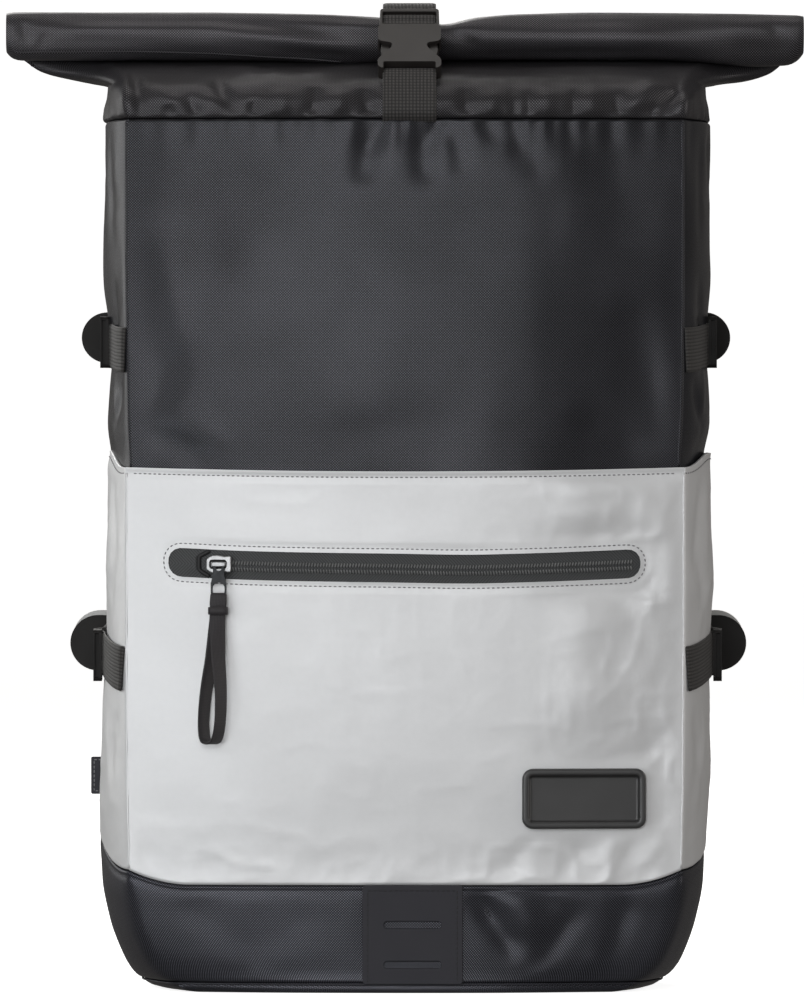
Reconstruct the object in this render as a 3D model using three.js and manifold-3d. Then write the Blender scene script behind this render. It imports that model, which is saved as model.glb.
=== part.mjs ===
// Roll-top laptop backpack: a hollow cloth body under a wide rolled collar, with a pale pocket layer,
// side compression straps, a dark base and plain shoulder straps.
// Units are millimetres, +Z is up, the front faces -Y, and the origin is under the middle of the base.
import * as THREE from "three";
import { mergeVertices } from "three/addons/utils/BufferGeometryUtils.js";
import Module from "manifold-3d";

const wasm = await Module();
wasm.setup();
const { lerp, clamp, smoothstep, degToRad } = THREE.MathUtils;
const at = (x, y, z) => new THREE.Vector3(x, y, z);

// Driving dimensions
const GAP = 0.3; // room between pieces that are sewn or lie together
const CLOTH = 1.8; // wall of the black body
const LAYER = { inner: 0.5, outer: 2.3 }; // pale pockets and base, measured out from the body wall
const BODY_TOP = 407; // seam between body and collar
const BODY_FOOT = 24; // where the body wall ends inside the base
const POCKET_TOP = 242.5; // upper hem of the pale front panel
const WEBBING = { wide: 25, side: 22, thick: 1.4 };
const ROLL = { halfWidth: 187.9, radius: 11, centreY: -9, centreZ: 448.6 };
const SPIRAL = { cloth: 2.2, pitch: 3.7, turns: 1.55 };
// Flattened top of the collar, where the roll starts
const NECK = { y: 1.2, z: 436.8, half: 2.6, seamX: 141 };
const BACK_PAD = 5; // crown of the padded back

// Outside of the body wall, one row for each level. seam is the half width at the front corner seams,
// bulge is how far the sides swell past them, front and back are depths at the corners,
// crown is how far the front swells in its middle.
const FORM = [
  { z: 0, seam: 89, bulge: 9.2, front: -50, crown: 6, back: 50 },
  { z: 4, seam: 103.5, bulge: 12.2, front: -59, crown: 11, back: 58 },
  { z: 9, seam: 110.5, bulge: 12.9, front: -61, crown: 9, back: 60 },
  { z: 18, seam: 117, bulge: 13.5, front: -62, crown: 8, back: 60 },
  { z: 34, seam: 123, bulge: 13.8, front: -62.5, crown: 7.5, back: 60 },
  { z: 52, seam: 126, bulge: 14.1, front: -63, crown: 7, back: 60 },
  { z: 110, seam: 127.3, bulge: 15.1, front: -63, crown: 9, back: 60 },
  { z: 190, seam: 127.6, bulge: 14.8, front: -62, crown: 10, back: 60 },
  { z: 246, seam: 127.8, bulge: 12, front: -61, crown: 10, back: 60 },
  { z: 266, seam: 128.6, bulge: 14.1, front: -61, crown: 10, back: 60 },
  { z: 300, seam: 129.2, bulge: 14.2, front: -60, crown: 10, back: 59.5 },
  { z: 340, seam: 129.6, bulge: 14.6, front: -59, crown: 9.5, back: 59 },
  { z: 407, seam: 129.6, bulge: 14.3, front: -57, crown: 8, back: 57 },
];
const SIDE_TAPER = 2; // the sides close in towards the back by this much

// Soft dents and puckers of the black front, one row each: where, how wide, how tall, how deep.
const FRONT_DENTS = [
  { x: -13, z: 398, wide: 6, tall: 26, deep: 2.2 },
  { x: 17, z: 396, wide: 6, tall: 30, deep: 2.4 },
  { x: 4, z: 380, wide: 9, tall: 22, deep: -1.2 },
  { x: -92, z: 360, wide: 26, tall: 46, deep: 2.2 },
  { x: -104, z: 292, wide: 18, tall: 30, deep: 2.4 },
  { x: 104, z: 290, wide: 18, tall: 32, deep: 2 },
  { x: 40, z: 270, wide: 50, tall: 26, deep: 1.4 },
];
// Dents of the pale front panel
const POCKET_DENTS = [
  { x: 96, z: 170, wide: 16, tall: 34, deep: 0.7 },
  { x: 62, z: 66, wide: 14, tall: 16, deep: 0.7 },
  { x: 108, z: 70, wide: 10, tall: 18, deep: 0.8 },
];
// Gathers of the collar along its front seam
const GATHERS = { count: 15, deep: 1.6 };

// Side compression straps, one row for each level, shared by both sides. climb lifts them towards the back.
const SIDE_STRAPS = [
  { level: "upper", z: 299, climb: 6, over: 0, wingRadius: 12, wingReach: 154 },
  { level: "lower", z: 150.5, climb: 14, over: LAYER.outer, wingRadius: 13.2, wingReach: 159.5 },
];
const SIDE_RUN = { start: 1.6, buckle: 62, end: 104, wing: 106 }; // along the side from the front seam
const SIDE_MOUTH = 2.6; // how far the side pocket stands open at its top edge

const ZIP = { x0: -110, x1: 109.5, z: 200, height: 15, radius: 6.5, slider: -86.5 };
const BADGE = { x: 83.2, z: 90.6, width: 58, height: 28, corner: 5, rim: 3.4, thick: 3.2, recess: 1.3 };
const PATCH = { x: 3.5, z: 27.4, width: 46.5, height: 46, thick: 1.6 };
const PATCH_SLOTS = { width: 26.5, height: 3.3, z: [4.6, -13.9] };
const LABEL = { z: 101, height: 17.5, length: 10, thick: 1.3, share: 0.8 };
const BUCKLE = { x: 2.1, y: -40.2, z: 443.7, length: 49, width: 29.4, thick: 7, lean: 39.7 };

// Materials
function finish(color, roughness, metalness = 0) {
  return new THREE.MeshStandardMaterial({ color, roughness, metalness });
}
const BALLISTIC = finish(0x2c2d31, 0.72);
const PALE = finish(0xc9cacc, 0.5);
const COLLAR_CLOTH = finish(0x2d2b2f, 0.6);
const STRAP_CLOTH = finish(0x2b2929, 0.8);
const PLASTIC = finish(0x3a3635, 0.42);
const RUBBER = finish(0x343438, 0.62);
const ZIP_CLOTH = finish(0x2e3133, 0.75);
const STEEL = finish(0xc4c6c8, 0.28, 1);
const PADDING = finish(0x2a2a2d, 0.85);

// A geometry from points and triangles, turned so that its faces point out.
function solid(points, triangles) {
  const volume = triangles.reduce((sum, [a, b, c]) => {
    return sum + points[a].dot(points[b].clone().cross(points[c]));
  }, 0);
  const faces = volume < 0 ? triangles.map(([a, b, c]) => [a, c, b]) : triangles;
  const geometry = new THREE.BufferGeometry().setFromPoints(points);
  return geometry.setIndex(faces.flat());
}

// The two triangles of a quad
const quad = (a, b, c, d) => [[a, b, c], [a, c, d]];

// A closed wall between two sheets of points, each an array of rows. A loop joins the ends of every row.
function wall(outer, inner, loop = false) {
  const rows = outer.length;
  const columns = outer[0].length;
  const points = [...outer.flat(), ...inner.flat()];
  const out = (r, c) => r * columns + (c % columns);
  const into = (r, c) => rows * columns + out(r, c);
  const spans = loop ? columns : columns - 1;
  const triangles = [];
  for (let r = 0; r + 1 < rows; r += 1) {
    for (let c = 0; c < spans; c += 1) {
      triangles.push(...quad(out(r, c), out(r, c + 1), out(r + 1, c + 1), out(r + 1, c)));
      triangles.push(...quad(into(r, c), into(r + 1, c), into(r + 1, c + 1), into(r, c + 1)));
    }
    if (!loop) {
      triangles.push(...quad(out(r, 0), out(r + 1, 0), into(r + 1, 0), into(r, 0)));
      triangles.push(...quad(out(r, spans), into(r, spans), into(r + 1, spans), out(r + 1, spans)));
    }
  }
  for (let c = 0; c < spans; c += 1) {
    triangles.push(...quad(out(0, c), into(0, c), into(0, c + 1), out(0, c + 1)));
    const last = rows - 1;
    triangles.push(...quad(out(last, c), out(last, c + 1), into(last, c + 1), into(last, c)));
  }
  return solid(points, triangles);
}

// A band swept along a list of points. section(i) lists [across, out] offsets, across(i) is its width.
function sweep(path, section, across, closed = false) {
  const count = path.length;
  const rings = path.map((point, i) => {
    const before = path[closed ? (i + count - 1) % count : Math.max(i - 1, 0)];
    const after = path[closed ? (i + 1) % count : Math.min(i + 1, count - 1)];
    const tangent = after.clone().sub(before).normalize();
    const wide = across(i).clone();
    wide.addScaledVector(tangent, -wide.dot(tangent)).normalize();
    const out = tangent.clone().cross(wide);
    return section(i).map(([a, b]) => point.clone().addScaledVector(wide, a).addScaledVector(out, b));
  });
  const sides = rings[0].length;
  const index = (i, k) => (i % count) * sides + (k % sides);
  const triangles = [];
  for (let i = 0; i < (closed ? count : count - 1); i += 1) {
    for (let k = 0; k < sides; k += 1) {
      triangles.push(...quad(index(i, k), index(i, k + 1), index(i + 1, k + 1), index(i + 1, k)));
    }
  }
  for (let k = 1; !closed && k + 1 < sides; k += 1) {
    triangles.push([index(0, 0), index(0, k + 1), index(0, k)]);
    triangles.push([index(count - 1, 0), index(count - 1, k), index(count - 1, k + 1)]);
  }
  return solid(rings.flat(), triangles);
}

// The four corners of a flat strap's section
function strapSection(width, thick) {
  const w = width / 2;
  const t = thick / 2;
  return [[-w, -t], [w, -t], [w, t], [-w, t]];
}

// Booleans
function manifoldOf(geometry) {
  const bare = geometry.clone();
  bare.deleteAttribute("normal");
  bare.deleteAttribute("uv");
  const merged = mergeVertices(bare, 1e-4);
  const triVerts = new Uint32Array(merged.index.array);
  const vertProperties = merged.attributes.position.array;
  return new wasm.Manifold(new wasm.Mesh({ numProp: 3, vertProperties, triVerts }));
}

function geometryOf(manifold) {
  const { vertProperties, triVerts } = manifold.getMesh();
  const geometry = new THREE.BufferGeometry();
  geometry.setAttribute("position", new THREE.BufferAttribute(new Float32Array(vertProperties), 3));
  return geometry.setIndex(new THREE.BufferAttribute(new Uint32Array(triVerts), 1));
}

const combine = (operation) => (first, ...rest) =>
  geometryOf(rest.reduce((made, next) => made[operation](manifoldOf(next)), manifoldOf(first)));
const join = combine("add");
const cut = combine("subtract");
const common = combine("intersect");

// Outlines and plates
const shapeOf = (rows) => new THREE.Shape(rows.map(([x, y]) => new THREE.Vector2(x, y)));

function roundedPath(path, width, height, radius, x, y) {
  const w = width / 2 - radius;
  const h = height / 2 - radius;
  path.absarc(x + w, y + h, radius, 0, Math.PI / 2);
  path.absarc(x - w, y + h, radius, Math.PI / 2, Math.PI);
  path.absarc(x - w, y - h, radius, Math.PI, 1.5 * Math.PI);
  path.absarc(x + w, y - h, radius, 1.5 * Math.PI, 2 * Math.PI);
  return path;
}

const roundedRect = (width, height, radius) => roundedPath(new THREE.Shape(), width, height, radius, 0, 0);
const hole = (width, height, radius, x, y) => roundedPath(new THREE.Path(), width, height, radius, x, y);

// A plate of this outline, centred on its own plane
function plate(shape, thick, curveSegments = 3) {
  const geometry = new THREE.ExtrudeGeometry(shape, { depth: thick, bevelEnabled: false, curveSegments });
  return geometry.translate(0, 0, -thick / 2);
}

const box = (x, y, width, depth, thick) => new THREE.BoxGeometry(width, depth, thick).translate(x, y, 0);

// Body form
function level(z, column) {
  const next = FORM.findIndex((row) => row.z >= z);
  const high = FORM[clamp(next < 0 ? FORM.length - 1 : next, 1, FORM.length - 1)];
  const low = FORM[FORM.indexOf(high) - 1];
  return lerp(low[column], high[column], clamp((z - low.z) / (high.z - low.z), 0, 1));
}

function dent(rows, x, z) {
  return rows.reduce((sum, row) => {
    const across = (x - row.x) / row.wide;
    const along = (z - row.z) / row.tall;
    return sum + row.deep * Math.exp(-across * across - along * along);
  }, 0);
}

function frontPoint(x, z, out) {
  const share = x / (level(z, "seam") + out);
  return at(x, level(z, "front") - out - level(z, "crown") * (1 - share * share), z);
}

// A point of the form on one of its four sides. share runs from seam to seam, seen from outside.
function formPoint(side, share, z, out) {
  const seam = level(z, "seam") + out;
  if (side === "front") return frontPoint(seam * (2 * share - 1), z, out);
  if (side === "back") return at((seam - SIDE_TAPER) * (1 - 2 * share), level(z, "back") + out, z);
  const swell = level(z, "bulge") * Math.sin(Math.PI * share) ** 0.8;
  const x = seam - SIDE_TAPER * share + swell;
  const y = lerp(level(z, "front") - out, level(z, "back") + out, share);
  return at(side === "right" ? x : -x, y, z);
}

const shares = (count) => Array.from({ length: count + 1 }, (_, i) => i / count);
const seamShares = (list, span) => list.map((share) => clamp(share, GAP / 2 / span, 1 - GAP / 2 / span));

// Columns crowd together near the middle, where the strap puckers the cloth.
const FRONT_SHARES = seamShares(
  [0, 0.08, 0.17, 0.26, 0.35, 0.42, 0.45, 0.48, 0.51, 0.54, 0.57, 0.6, 0.68, 0.78, 0.89, 1],
  258,
);
const SIDE_STATIONS = [0, 0.08, 0.22, 0.38, 0.5, 0.62, 0.8, 0.94, 1];
const SIDE_SHARES = seamShares(SIDE_STATIONS, 122);
const PALE_STATIONS = [0, 0.05, 0.1, 0.15, 0.2, 0.32, 0.44, 0.56, 0.68, 0.8, 0.85, 0.9, 0.95, 1];
const BODY_LEVELS = [
  BODY_FOOT, 34, 52, 110, 190, 246, 266, 284, 300, 318, 340, 360, 376, 388, 398, BODY_TOP - GAP,
];

function frontPanel() {
  const sheet = (out) => BODY_LEVELS.map((z) => FRONT_SHARES.map((share) => {
    const point = formPoint("front", share, z, out);
    const fromSeam = level(z, "seam") - Math.abs(point.x);
    point.y += dent(FRONT_DENTS, point.x, z) * smoothstep(fromSeam, 2, 18);
    return point;
  }));
  return wall(sheet(0), sheet(-CLOTH));
}

function sidePanel(side) {
  const sheet = (out) => BODY_LEVELS.map((z) => SIDE_SHARES.map((share) => formPoint(side, share, z, out)));
  return wall(sheet(0), sheet(-CLOTH));
}

// The back is padded: flat against the cloth inside and crowned outside.
function backPanel() {
  const columns = seamShares([0, 0.03, 0.12, 0.3, 0.5, 0.7, 0.88, 0.97, 1], 254);
  const levels = [BODY_FOOT, 34, 52, 84, 92, 110, 190, 246, 266, 300, 340, 380, 396, BODY_TOP - GAP];
  const padded = (share, z) => {
    const acrossEdge = smoothstep(Math.min(share, 1 - share), 0.02, 0.1);
    return BACK_PAD * acrossEdge * smoothstep(z, 84, 100) * smoothstep(BODY_TOP - z, 2, 20);
  };
  const sheet = (out, pad) => levels.map((z) => columns.map((share) => {
    const point = formPoint("back", share, z, out);
    point.y += pad * padded(share, z);
    return point;
  }));
  return wall(sheet(0, 1), sheet(-CLOTH, 0));
}

// Edge where the pale layer ends and the base begins: level in front, climbing round the corners
function baseTop(side, share) {
  const corner = 57;
  if (side === "front") return lerp(50.3, corner, clamp((Math.abs(2 * share - 1) - 0.55) / 0.45, 0, 1) ** 2);
  if (side === "back") return 76;
  return lerp(76, corner, clamp(1 - share / 0.62, 0, 1) ** 2);
}

function pocketTop(side, share) {
  if (side === "front") return POCKET_TOP + 2 * (2 * share - 1) ** 2;
  return lerp(POCKET_TOP + 2, POCKET_TOP + 6.5, smoothstep(share, 0, 0.35));
}

// Pale panel between the base and its upper hem, standing off the body by lift(share, rise)
function paleSheet(side, columns, rows, out, lift) {
  return rows.map((rise) => columns.map((share) => {
    const z = lerp(baseTop(side, share) + GAP, pocketTop(side, share), rise);
    return formPoint(side, share, z, out + lift(share, rise));
  }));
}

function pocketFront() {
  const columns = seamShares(PALE_STATIONS, 262);
  const dented = (point, out) => {
    point.y += out === LAYER.outer ? dent(POCKET_DENTS, point.x, point.z) : 0;
    return point;
  };
  const sheet = (out) => {
    const rows = paleSheet("front", columns, shares(9), out, () => 0);
    return rows.map((row) => row.map((point) => dented(point, out)));
  };
  return cut(wall(sheet(LAYER.outer), sheet(LAYER.inner)), zipCutter(0));
}

function sidePocket(side) {
  const lift = (share, rise) => SIDE_MOUTH * Math.sin(Math.PI * share) * smoothstep(rise, 0.64, 1);
  const sheet = (out) => paleSheet(side, SIDE_SHARES, shares(9), out, lift);
  return wall(sheet(LAYER.outer), sheet(LAYER.inner));
}

// Stations once round the form, from the left front seam by way of the right side and the back
const ROUND = [
  ...PALE_STATIONS.slice(0, -1).map((share) => ["front", share]),
  ...SIDE_STATIONS.slice(0, -1).map((share) => ["right", share]),
  ...shares(6).slice(0, -1).map((share) => ["back", share]),
  ...SIDE_STATIONS.slice(1).reverse().map((share) => ["left", share]),
];

function baseWall() {
  const middle = (top) => (top > 54 ? 52 : 42);
  const levels = [() => 4 + GAP, () => 9, () => 18, () => 34, middle, (top) => top];
  const ring = (height, out) => ROUND.map(([side, share]) => {
    return formPoint(side, share, height(baseTop(side, share)), out);
  });
  const sheet = (out) => levels.map((height) => ring(height, out));
  return wall(sheet(LAYER.outer), sheet(LAYER.inner), true);
}

// Shallow dish under the base: a flat foot inside a turned-up rim
function bottomPanel() {
  const thick = 2;
  const rim = 4;
  const ring = (z, lift, out) => ROUND.map(([side, share]) => formPoint(side, share, z, out).setZ(z + lift));
  const loops = [
    ring(0, 0, LAYER.outer),
    ring(rim, 0, LAYER.outer),
    ring(rim, 0, LAYER.inner),
    ring(0, thick, LAYER.outer - 0.4),
  ];
  const points = [...loops.flat(), at(0, 0, 0), at(0, 0, thick)];
  const count = ROUND.length;
  const index = (r, c) => r * count + (c % count);
  const triangles = [];
  for (let c = 0; c < count; c += 1) {
    for (let r = 0; r + 1 < loops.length; r += 1) {
      triangles.push(...quad(index(r, c), index(r, c + 1), index(r + 1, c + 1), index(r + 1, c)));
    }
    triangles.push([index(0, c + 1), index(0, c), points.length - 2]);
    triangles.push([index(loops.length - 1, c), index(loops.length - 1, c + 1), points.length - 1]);
  }
  return solid(points, triangles);
}

// Collar: a tube that rises from the body seam, gathers over the edge and closes flat under the roll
function neckPoint(side, share, inset) {
  const half = NECK.half - inset * 0.8;
  if (side === "front") return at(NECK.seamX * (2 * share - 1), NECK.y - half, NECK.z);
  if (side === "back") return at(NECK.seamX * (1 - 2 * share), NECK.y + half, NECK.z);
  const reach = lerp(NECK.seamX, ROLL.halfWidth - 1 - inset, Math.sin(Math.PI * share) ** 0.9);
  const x = side === "right" ? reach : -reach;
  return at(x, NECK.y - half * Math.cos(Math.PI * share), NECK.z);
}

function collarPoint(side, share, rise, inset) {
  const foot = formPoint(side, share, BODY_TOP, -inset);
  const neck = neckPoint(side, share, inset);
  const bend = foot.clone().setZ(429 - inset);
  if (side === "left" || side === "right") {
    const tuck = 6 * Math.sin(Math.PI * share);
    bend.set(bend.x * 0.99, bend.y * 0.3, 432 - inset);
    bend.x -= Math.sign(bend.x) * tuck;
  }
  const curve = new THREE.QuadraticBezierCurve3(foot, bend, neck);
  const point = curve.getPoint(rise);
  if (side === "front") {
    const ruffle = Math.sin(GATHERS.count * Math.PI * share) * Math.sin(Math.PI * rise) ** 2;
    point.y -= GATHERS.deep * ruffle * smoothstep(Math.min(share, 1 - share), 0, 0.12);
  }
  return point;
}

function collar() {
  const stations = [
    ...shares(26).slice(0, -1).map((share) => ["front", share]),
    ...SIDE_STATIONS.slice(0, -1).map((share) => ["right", share]),
    ...shares(6).slice(0, -1).map((share) => ["back", share]),
    ...SIDE_STATIONS.slice(1).reverse().map((share) => ["left", share]),
  ];
  const ring = (rise, inset) => stations.map(([side, share]) => collarPoint(side, share, rise, inset));
  const sheet = (inset) => shares(5).map((rise) => ring(rise, inset));
  return wall(sheet(0), sheet(CLOTH - 0.2), true);
}

// Rolled top: a doubled cloth that stands up from the neck and winds forward in a spiral
function rollTop() {
  const steps = 24;
  const spiral = (edge) => shares(steps).map((share) => {
    const turn = share * SPIRAL.turns * 2 * Math.PI;
    const radius = ROLL.radius - edge * SPIRAL.cloth - (SPIRAL.pitch * turn) / (2 * Math.PI);
    return [radius * Math.cos(turn), radius * Math.sin(turn)];
  });
  const footZ = NECK.z + GAP - ROLL.centreZ;
  const outer = [[ROLL.radius, footZ], ...spiral(0)];
  const inner = [[ROLL.radius - SPIRAL.cloth, footZ], ...spiral(1)];
  const outline = [...outer, ...inner.reverse()];
  // Squeezed under the strap in the middle, a little flatter towards the ends
  const stations = [-1, -0.7, -0.32, -0.18, -0.09, 0, 0.09, 0.18, 0.32, 0.7, 1];
  const path = stations.map((share) => at(share * ROLL.halfWidth, ROLL.centreY, ROLL.centreZ));
  const squeeze = (share) => 1 - 0.07 * Math.exp(-((share / 0.14) ** 2));
  const section = (i) => outline.map(([y, z]) => {
    const lifted = z > 0 ? z * squeeze(stations[i]) : z;
    return [y, lifted];
  });
  return sweepOutline(path, section, outline);
}

// A sweep along X of an outline that isn't convex, with its ends capped by three.js triangulation
function sweepOutline(path, section, outline) {
  const sides = outline.length;
  const ring = (point, i) => section(i).map(([y, z]) => at(point.x, point.y + y, point.z + z));
  const points = path.flatMap(ring);
  const index = (i, k) => i * sides + (k % sides);
  const triangles = [];
  for (let i = 0; i + 1 < path.length; i += 1) {
    for (let k = 0; k < sides; k += 1) {
      triangles.push(...quad(index(i, k), index(i, k + 1), index(i + 1, k + 1), index(i + 1, k)));
    }
  }
  const flat = outline.map(([y, z]) => new THREE.Vector2(y, z));
  const cap = THREE.ShapeUtils.triangulateShape(flat, []);
  const last = path.length - 1;
  const turned = THREE.ShapeUtils.area(flat) > 0;
  cap.forEach(([a, b, c]) => {
    const near = [index(0, a), index(0, b), index(0, c)];
    const far = [index(last, a), index(last, c), index(last, b)];
    triangles.push(turned ? near.reverse() : near, turned ? far.reverse() : far);
  });
  return solid(points, triangles);
}

// Zip in the pale panel
function zipCutter(inset) {
  const width = ZIP.x1 - ZIP.x0 - 2 * inset;
  const shape = roundedRect(width, ZIP.height - 2 * inset, ZIP.radius - inset);
  const depth = 40;
  return plate(shape, depth).rotateX(Math.PI / 2).translate((ZIP.x0 + ZIP.x1) / 2, -72, ZIP.z);
}

// A sheet on the front, between two offsets from the body wall
function frontSheet(x0, x1, z0, z1, inner, outer, columns) {
  const row = (z, out) => shares(columns).map((share) => frontPoint(lerp(x0, x1, share), z, out));
  const sheet = (out) => [row(z0, out), row(z1, out)];
  return wall(sheet(outer), sheet(inner));
}

function zipTape() {
  const high = ZIP.height / 2;
  const blank = frontSheet(ZIP.x0 - 2, ZIP.x1 + 2, ZIP.z - high, ZIP.z + high, LAYER.inner, 1.5, 10);
  return common(blank, zipCutter(GAP));
}

const TAPE_FACE = 1.5 + GAP;
const CHAIN = { height: 5.4, thick: 1.3 };

function zipChain() {
  const high = CHAIN.height / 2;
  const face = TAPE_FACE + CHAIN.thick;
  return frontSheet(ZIP.slider + 6.2, ZIP.x1 - 4, ZIP.z - high, ZIP.z + high, TAPE_FACE, face, 12);
}

function zipGarage() {
  const high = ZIP.height / 2 - 0.8;
  const blank = frontSheet(ZIP.x0, ZIP.x0 + 14, ZIP.z - high, ZIP.z + high, TAPE_FACE, TAPE_FACE + 1.2, 3);
  return common(blank, zipCutter(0.7));
}

// Slider: a waisted metal plate with a bridge, in its own frame with +Z out of the cloth
function zipSlider() {
  const shape = shapeOf([
    [-5.6, -2.6], [-3.2, -4.6], [0.6, -4.2], [5.8, -4.4],
    [5.8, 4.4], [0.6, 4.2], [-3.2, 4.6], [-5.6, 2.6],
  ]);
  const body = plate(shape, 2.6);
  const arch = shapeOf([[-3, 1], [3, 1], [3, 4.6], [-3, 4.6]]);
  arch.holes.push(hole(3.4, 2, 0.3, 0, 2.6));
  const bridge = plate(arch, 2.6).rotateX(Math.PI / 2).rotateZ(Math.PI / 2);
  return join(body, bridge);
}

// Pull tab: a dark plate that hangs on the bridge by its top bar, with an eye for the loop
const TAB = { width: 7, length: 19, thick: 1.2, eyeDrop: 13.6, eyeWidth: 5, eyeHeight: 3.4 };

function pullTab() {
  const shape = roundedRect(TAB.width, TAB.length, 1.6);
  shape.holes.push(hole(3.4, 4.6, 0.5, 0, TAB.length / 2 - 3.7));
  shape.holes.push(hole(TAB.eyeWidth, TAB.eyeHeight, 1.4, 0, TAB.length / 2 - TAB.eyeDrop));
  return plate(shape, TAB.thick, 2).translate(0, 0.7 - TAB.length / 2, 0);
}

// Loop of narrow webbing through the tab's eye. Its two legs turn from front and back to side by side as
// they fall, one row for each height: how far each leg stands from the middle line, how far the band has
// turned, and how far the middle line stands out.
const LOOP = { width: 4.4, belly: 7.6, thick: 1.1 };
const LOOP_LEGS = [
  { drop: 0, apart: 1.2, turn: 0, out: 0, width: LOOP.width },
  { drop: 5, apart: 1.5, turn: 0, out: 0, width: 5.4 },
  { drop: 9, apart: 1.05, turn: 0, out: 0.2, width: 6.6 },
  { drop: 16, apart: 1.2, turn: 10, out: 0.9, width: LOOP.belly },
  { drop: 30, apart: 2.8, turn: 32, out: 2.6, width: LOOP.belly },
  { drop: 46, apart: 4.9, turn: 45, out: 4.6, width: LOOP.belly },
  { drop: 60, apart: 5.2, turn: 48, out: 5, width: LOOP.belly },
  { drop: 68, apart: 3.6, turn: 48, out: 4.8, width: LOOP.belly },
];
const LOOP_BOTTOM = { drop: 71.4, apart: 0, turn: 48, out: 4.6, width: LOOP.belly };

function pullLoop() {
  const away = (row, sign) => {
    const turn = degToRad(row.turn);
    return at(Math.sin(turn) * row.apart * sign, -Math.cos(turn) * row.apart * sign - row.out, -row.drop);
  };
  const top = { drop: -0.9, apart: 0, turn: 0, out: 0, width: LOOP.width };
  const rows = [top, ...LOOP_LEGS, LOOP_BOTTOM, ...[...LOOP_LEGS].reverse()];
  const path = rows.map((row, i) => away(row, i <= LOOP_LEGS.length + 1 ? 1 : -1));
  const across = (i) => at(Math.cos(degToRad(rows[i].turn)), Math.sin(degToRad(rows[i].turn)), 0);
  return sweep(path, (i) => strapSection(rows[i].width, LOOP.thick), across, true);
}

function loopKeeper() {
  const ring = roundedRect(9.6, 6.4, 1.2);
  ring.holes.push(hole(8, 4.8, 0.6, 0, 0));
  return plate(ring, 3.2, 2);
}

// Badge: a raised rim round a sunken blank plate
function badge() {
  const body = plate(roundedRect(BADGE.width, BADGE.height, BADGE.corner), BADGE.thick);
  const well = roundedRect(BADGE.width - 2 * BADGE.rim, BADGE.height - 2 * BADGE.rim, BADGE.corner - 2);
  return cut(body, plate(well, BADGE.recess).translate(0, 0, (BADGE.thick - BADGE.recess) / 2 + 0.01));
}

// Patch with two slots for a clip
function basePatch() {
  const shape = roundedRect(PATCH.width, PATCH.height, 1.2);
  PATCH_SLOTS.z.forEach((z) => {
    shape.holes.push(hole(PATCH_SLOTS.width, PATCH_SLOTS.height, PATCH_SLOTS.height / 2 - 0.05, 0, z));
  });
  return plate(shape, PATCH.thick, 2);
}

// Side straps
const SIDE_LENGTH = 122;
// Strap adjuster, measured from the middle of the strap's thickness
const BAR = { reach: 10.5, wide: 3, low: 1, high: 3.4, slack: 3 };

// Strap through an adjuster: under the outer bars and over the middle one
const THREADED = [
  { along: -12, out: 0 }, { along: -6.8, out: 0 }, { along: -2.2, out: 4.4 },
  { along: 2.2, out: 4.4 }, { along: 6.8, out: 0 }, { along: 12, out: 0 },
];

function strapAlong(row, run, out) {
  const z = row.z + (row.climb * run) / SIDE_RUN.end;
  return { z, share: run / SIDE_LENGTH, out: row.over + GAP + WEBBING.thick / 2 + out };
}

function sideStrap(side, row) {
  const runs = [
    ...[SIDE_RUN.start, 9.8, 18, 26.8, 38, 46.4].map((run) => ({ run, out: 0 })),
    ...THREADED.map(({ along, out }) => ({ run: SIDE_RUN.buckle + along, out })),
    ...[86, 97.6, SIDE_RUN.end].map((run) => ({ run, out: 0 })),
  ];
  const point = (run, out) => {
    const place = strapAlong(row, run, out);
    return formPoint(side, place.share, place.z, place.out);
  };
  const path = runs.map(({ run, out }) => point(run, out));
  const across = (i) => {
    const along = point(runs[i].run + 1, 0).sub(point(runs[i].run - 1, 0)).normalize();
    return at(0, 0, 1).addScaledVector(along, -along.z);
  };
  return sweep(path, () => strapSection(WEBBING.side, WEBBING.thick), across);
}

// Adjuster frame: two slots between three bars, in its own plane
function adjuster(width) {
  const height = width + 2 * BAR.slack;
  const shape = roundedRect(2 * BAR.reach, height, 1.8);
  [-1, 1].forEach((sign) => {
    const slotWidth = BAR.reach - 1.5 * BAR.wide;
    shape.holes.push(hole(slotWidth, width + 1.2, 0.5, sign * (BAR.wide / 2 + slotWidth / 2), 0));
  });
  return plate(shape, BAR.high - BAR.low, 1);
}

// D-shaped wing that anchors a side strap at the back seam, in its own plane with +X away from the body
function wing(reach, radius) {
  const shape = new THREE.Shape();
  shape.moveTo(0, -radius);
  shape.absarc(reach - radius, 0, radius, -Math.PI / 2, Math.PI / 2);
  shape.lineTo(0, radius);
  return plate(shape, 2.4, 10);
}

// Fastening over the roll. Both halves of the buckle are built in its own plane, with Y up along the strap.
const SOCKET = { low: -24.5, high: 13.6, notchLow: -6, notchHigh: 5.2, waist: 9 };

function buckleSocket() {
  const w = BUCKLE.width / 2;
  const half = [
    [w - 2, SOCKET.low],
    [w, SOCKET.low + 2],
    [w, -11.5],
    [SOCKET.waist + 1.5, SOCKET.notchLow],
    [SOCKET.waist, -2],
    [SOCKET.waist + 1, SOCKET.notchHigh],
    [w - 0.6, SOCKET.notchHigh + 1],
    [w, SOCKET.notchHigh + 3],
    [w, SOCKET.high - 2],
    [w - 2, SOCKET.high],
  ];
  const shape = shapeOf([...half, ...half.map(([x, y]) => [-x, y]).reverse()]);
  shape.holes.push(hole(26, 6.6, 0.8, 0, -17));
  const channels = [-1, 1].map((sign) => box(sign * 11.2, 4.6, 4.6, 22, 4));
  return cut(plate(shape, BUCKLE.thick), ...channels);
}

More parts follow.
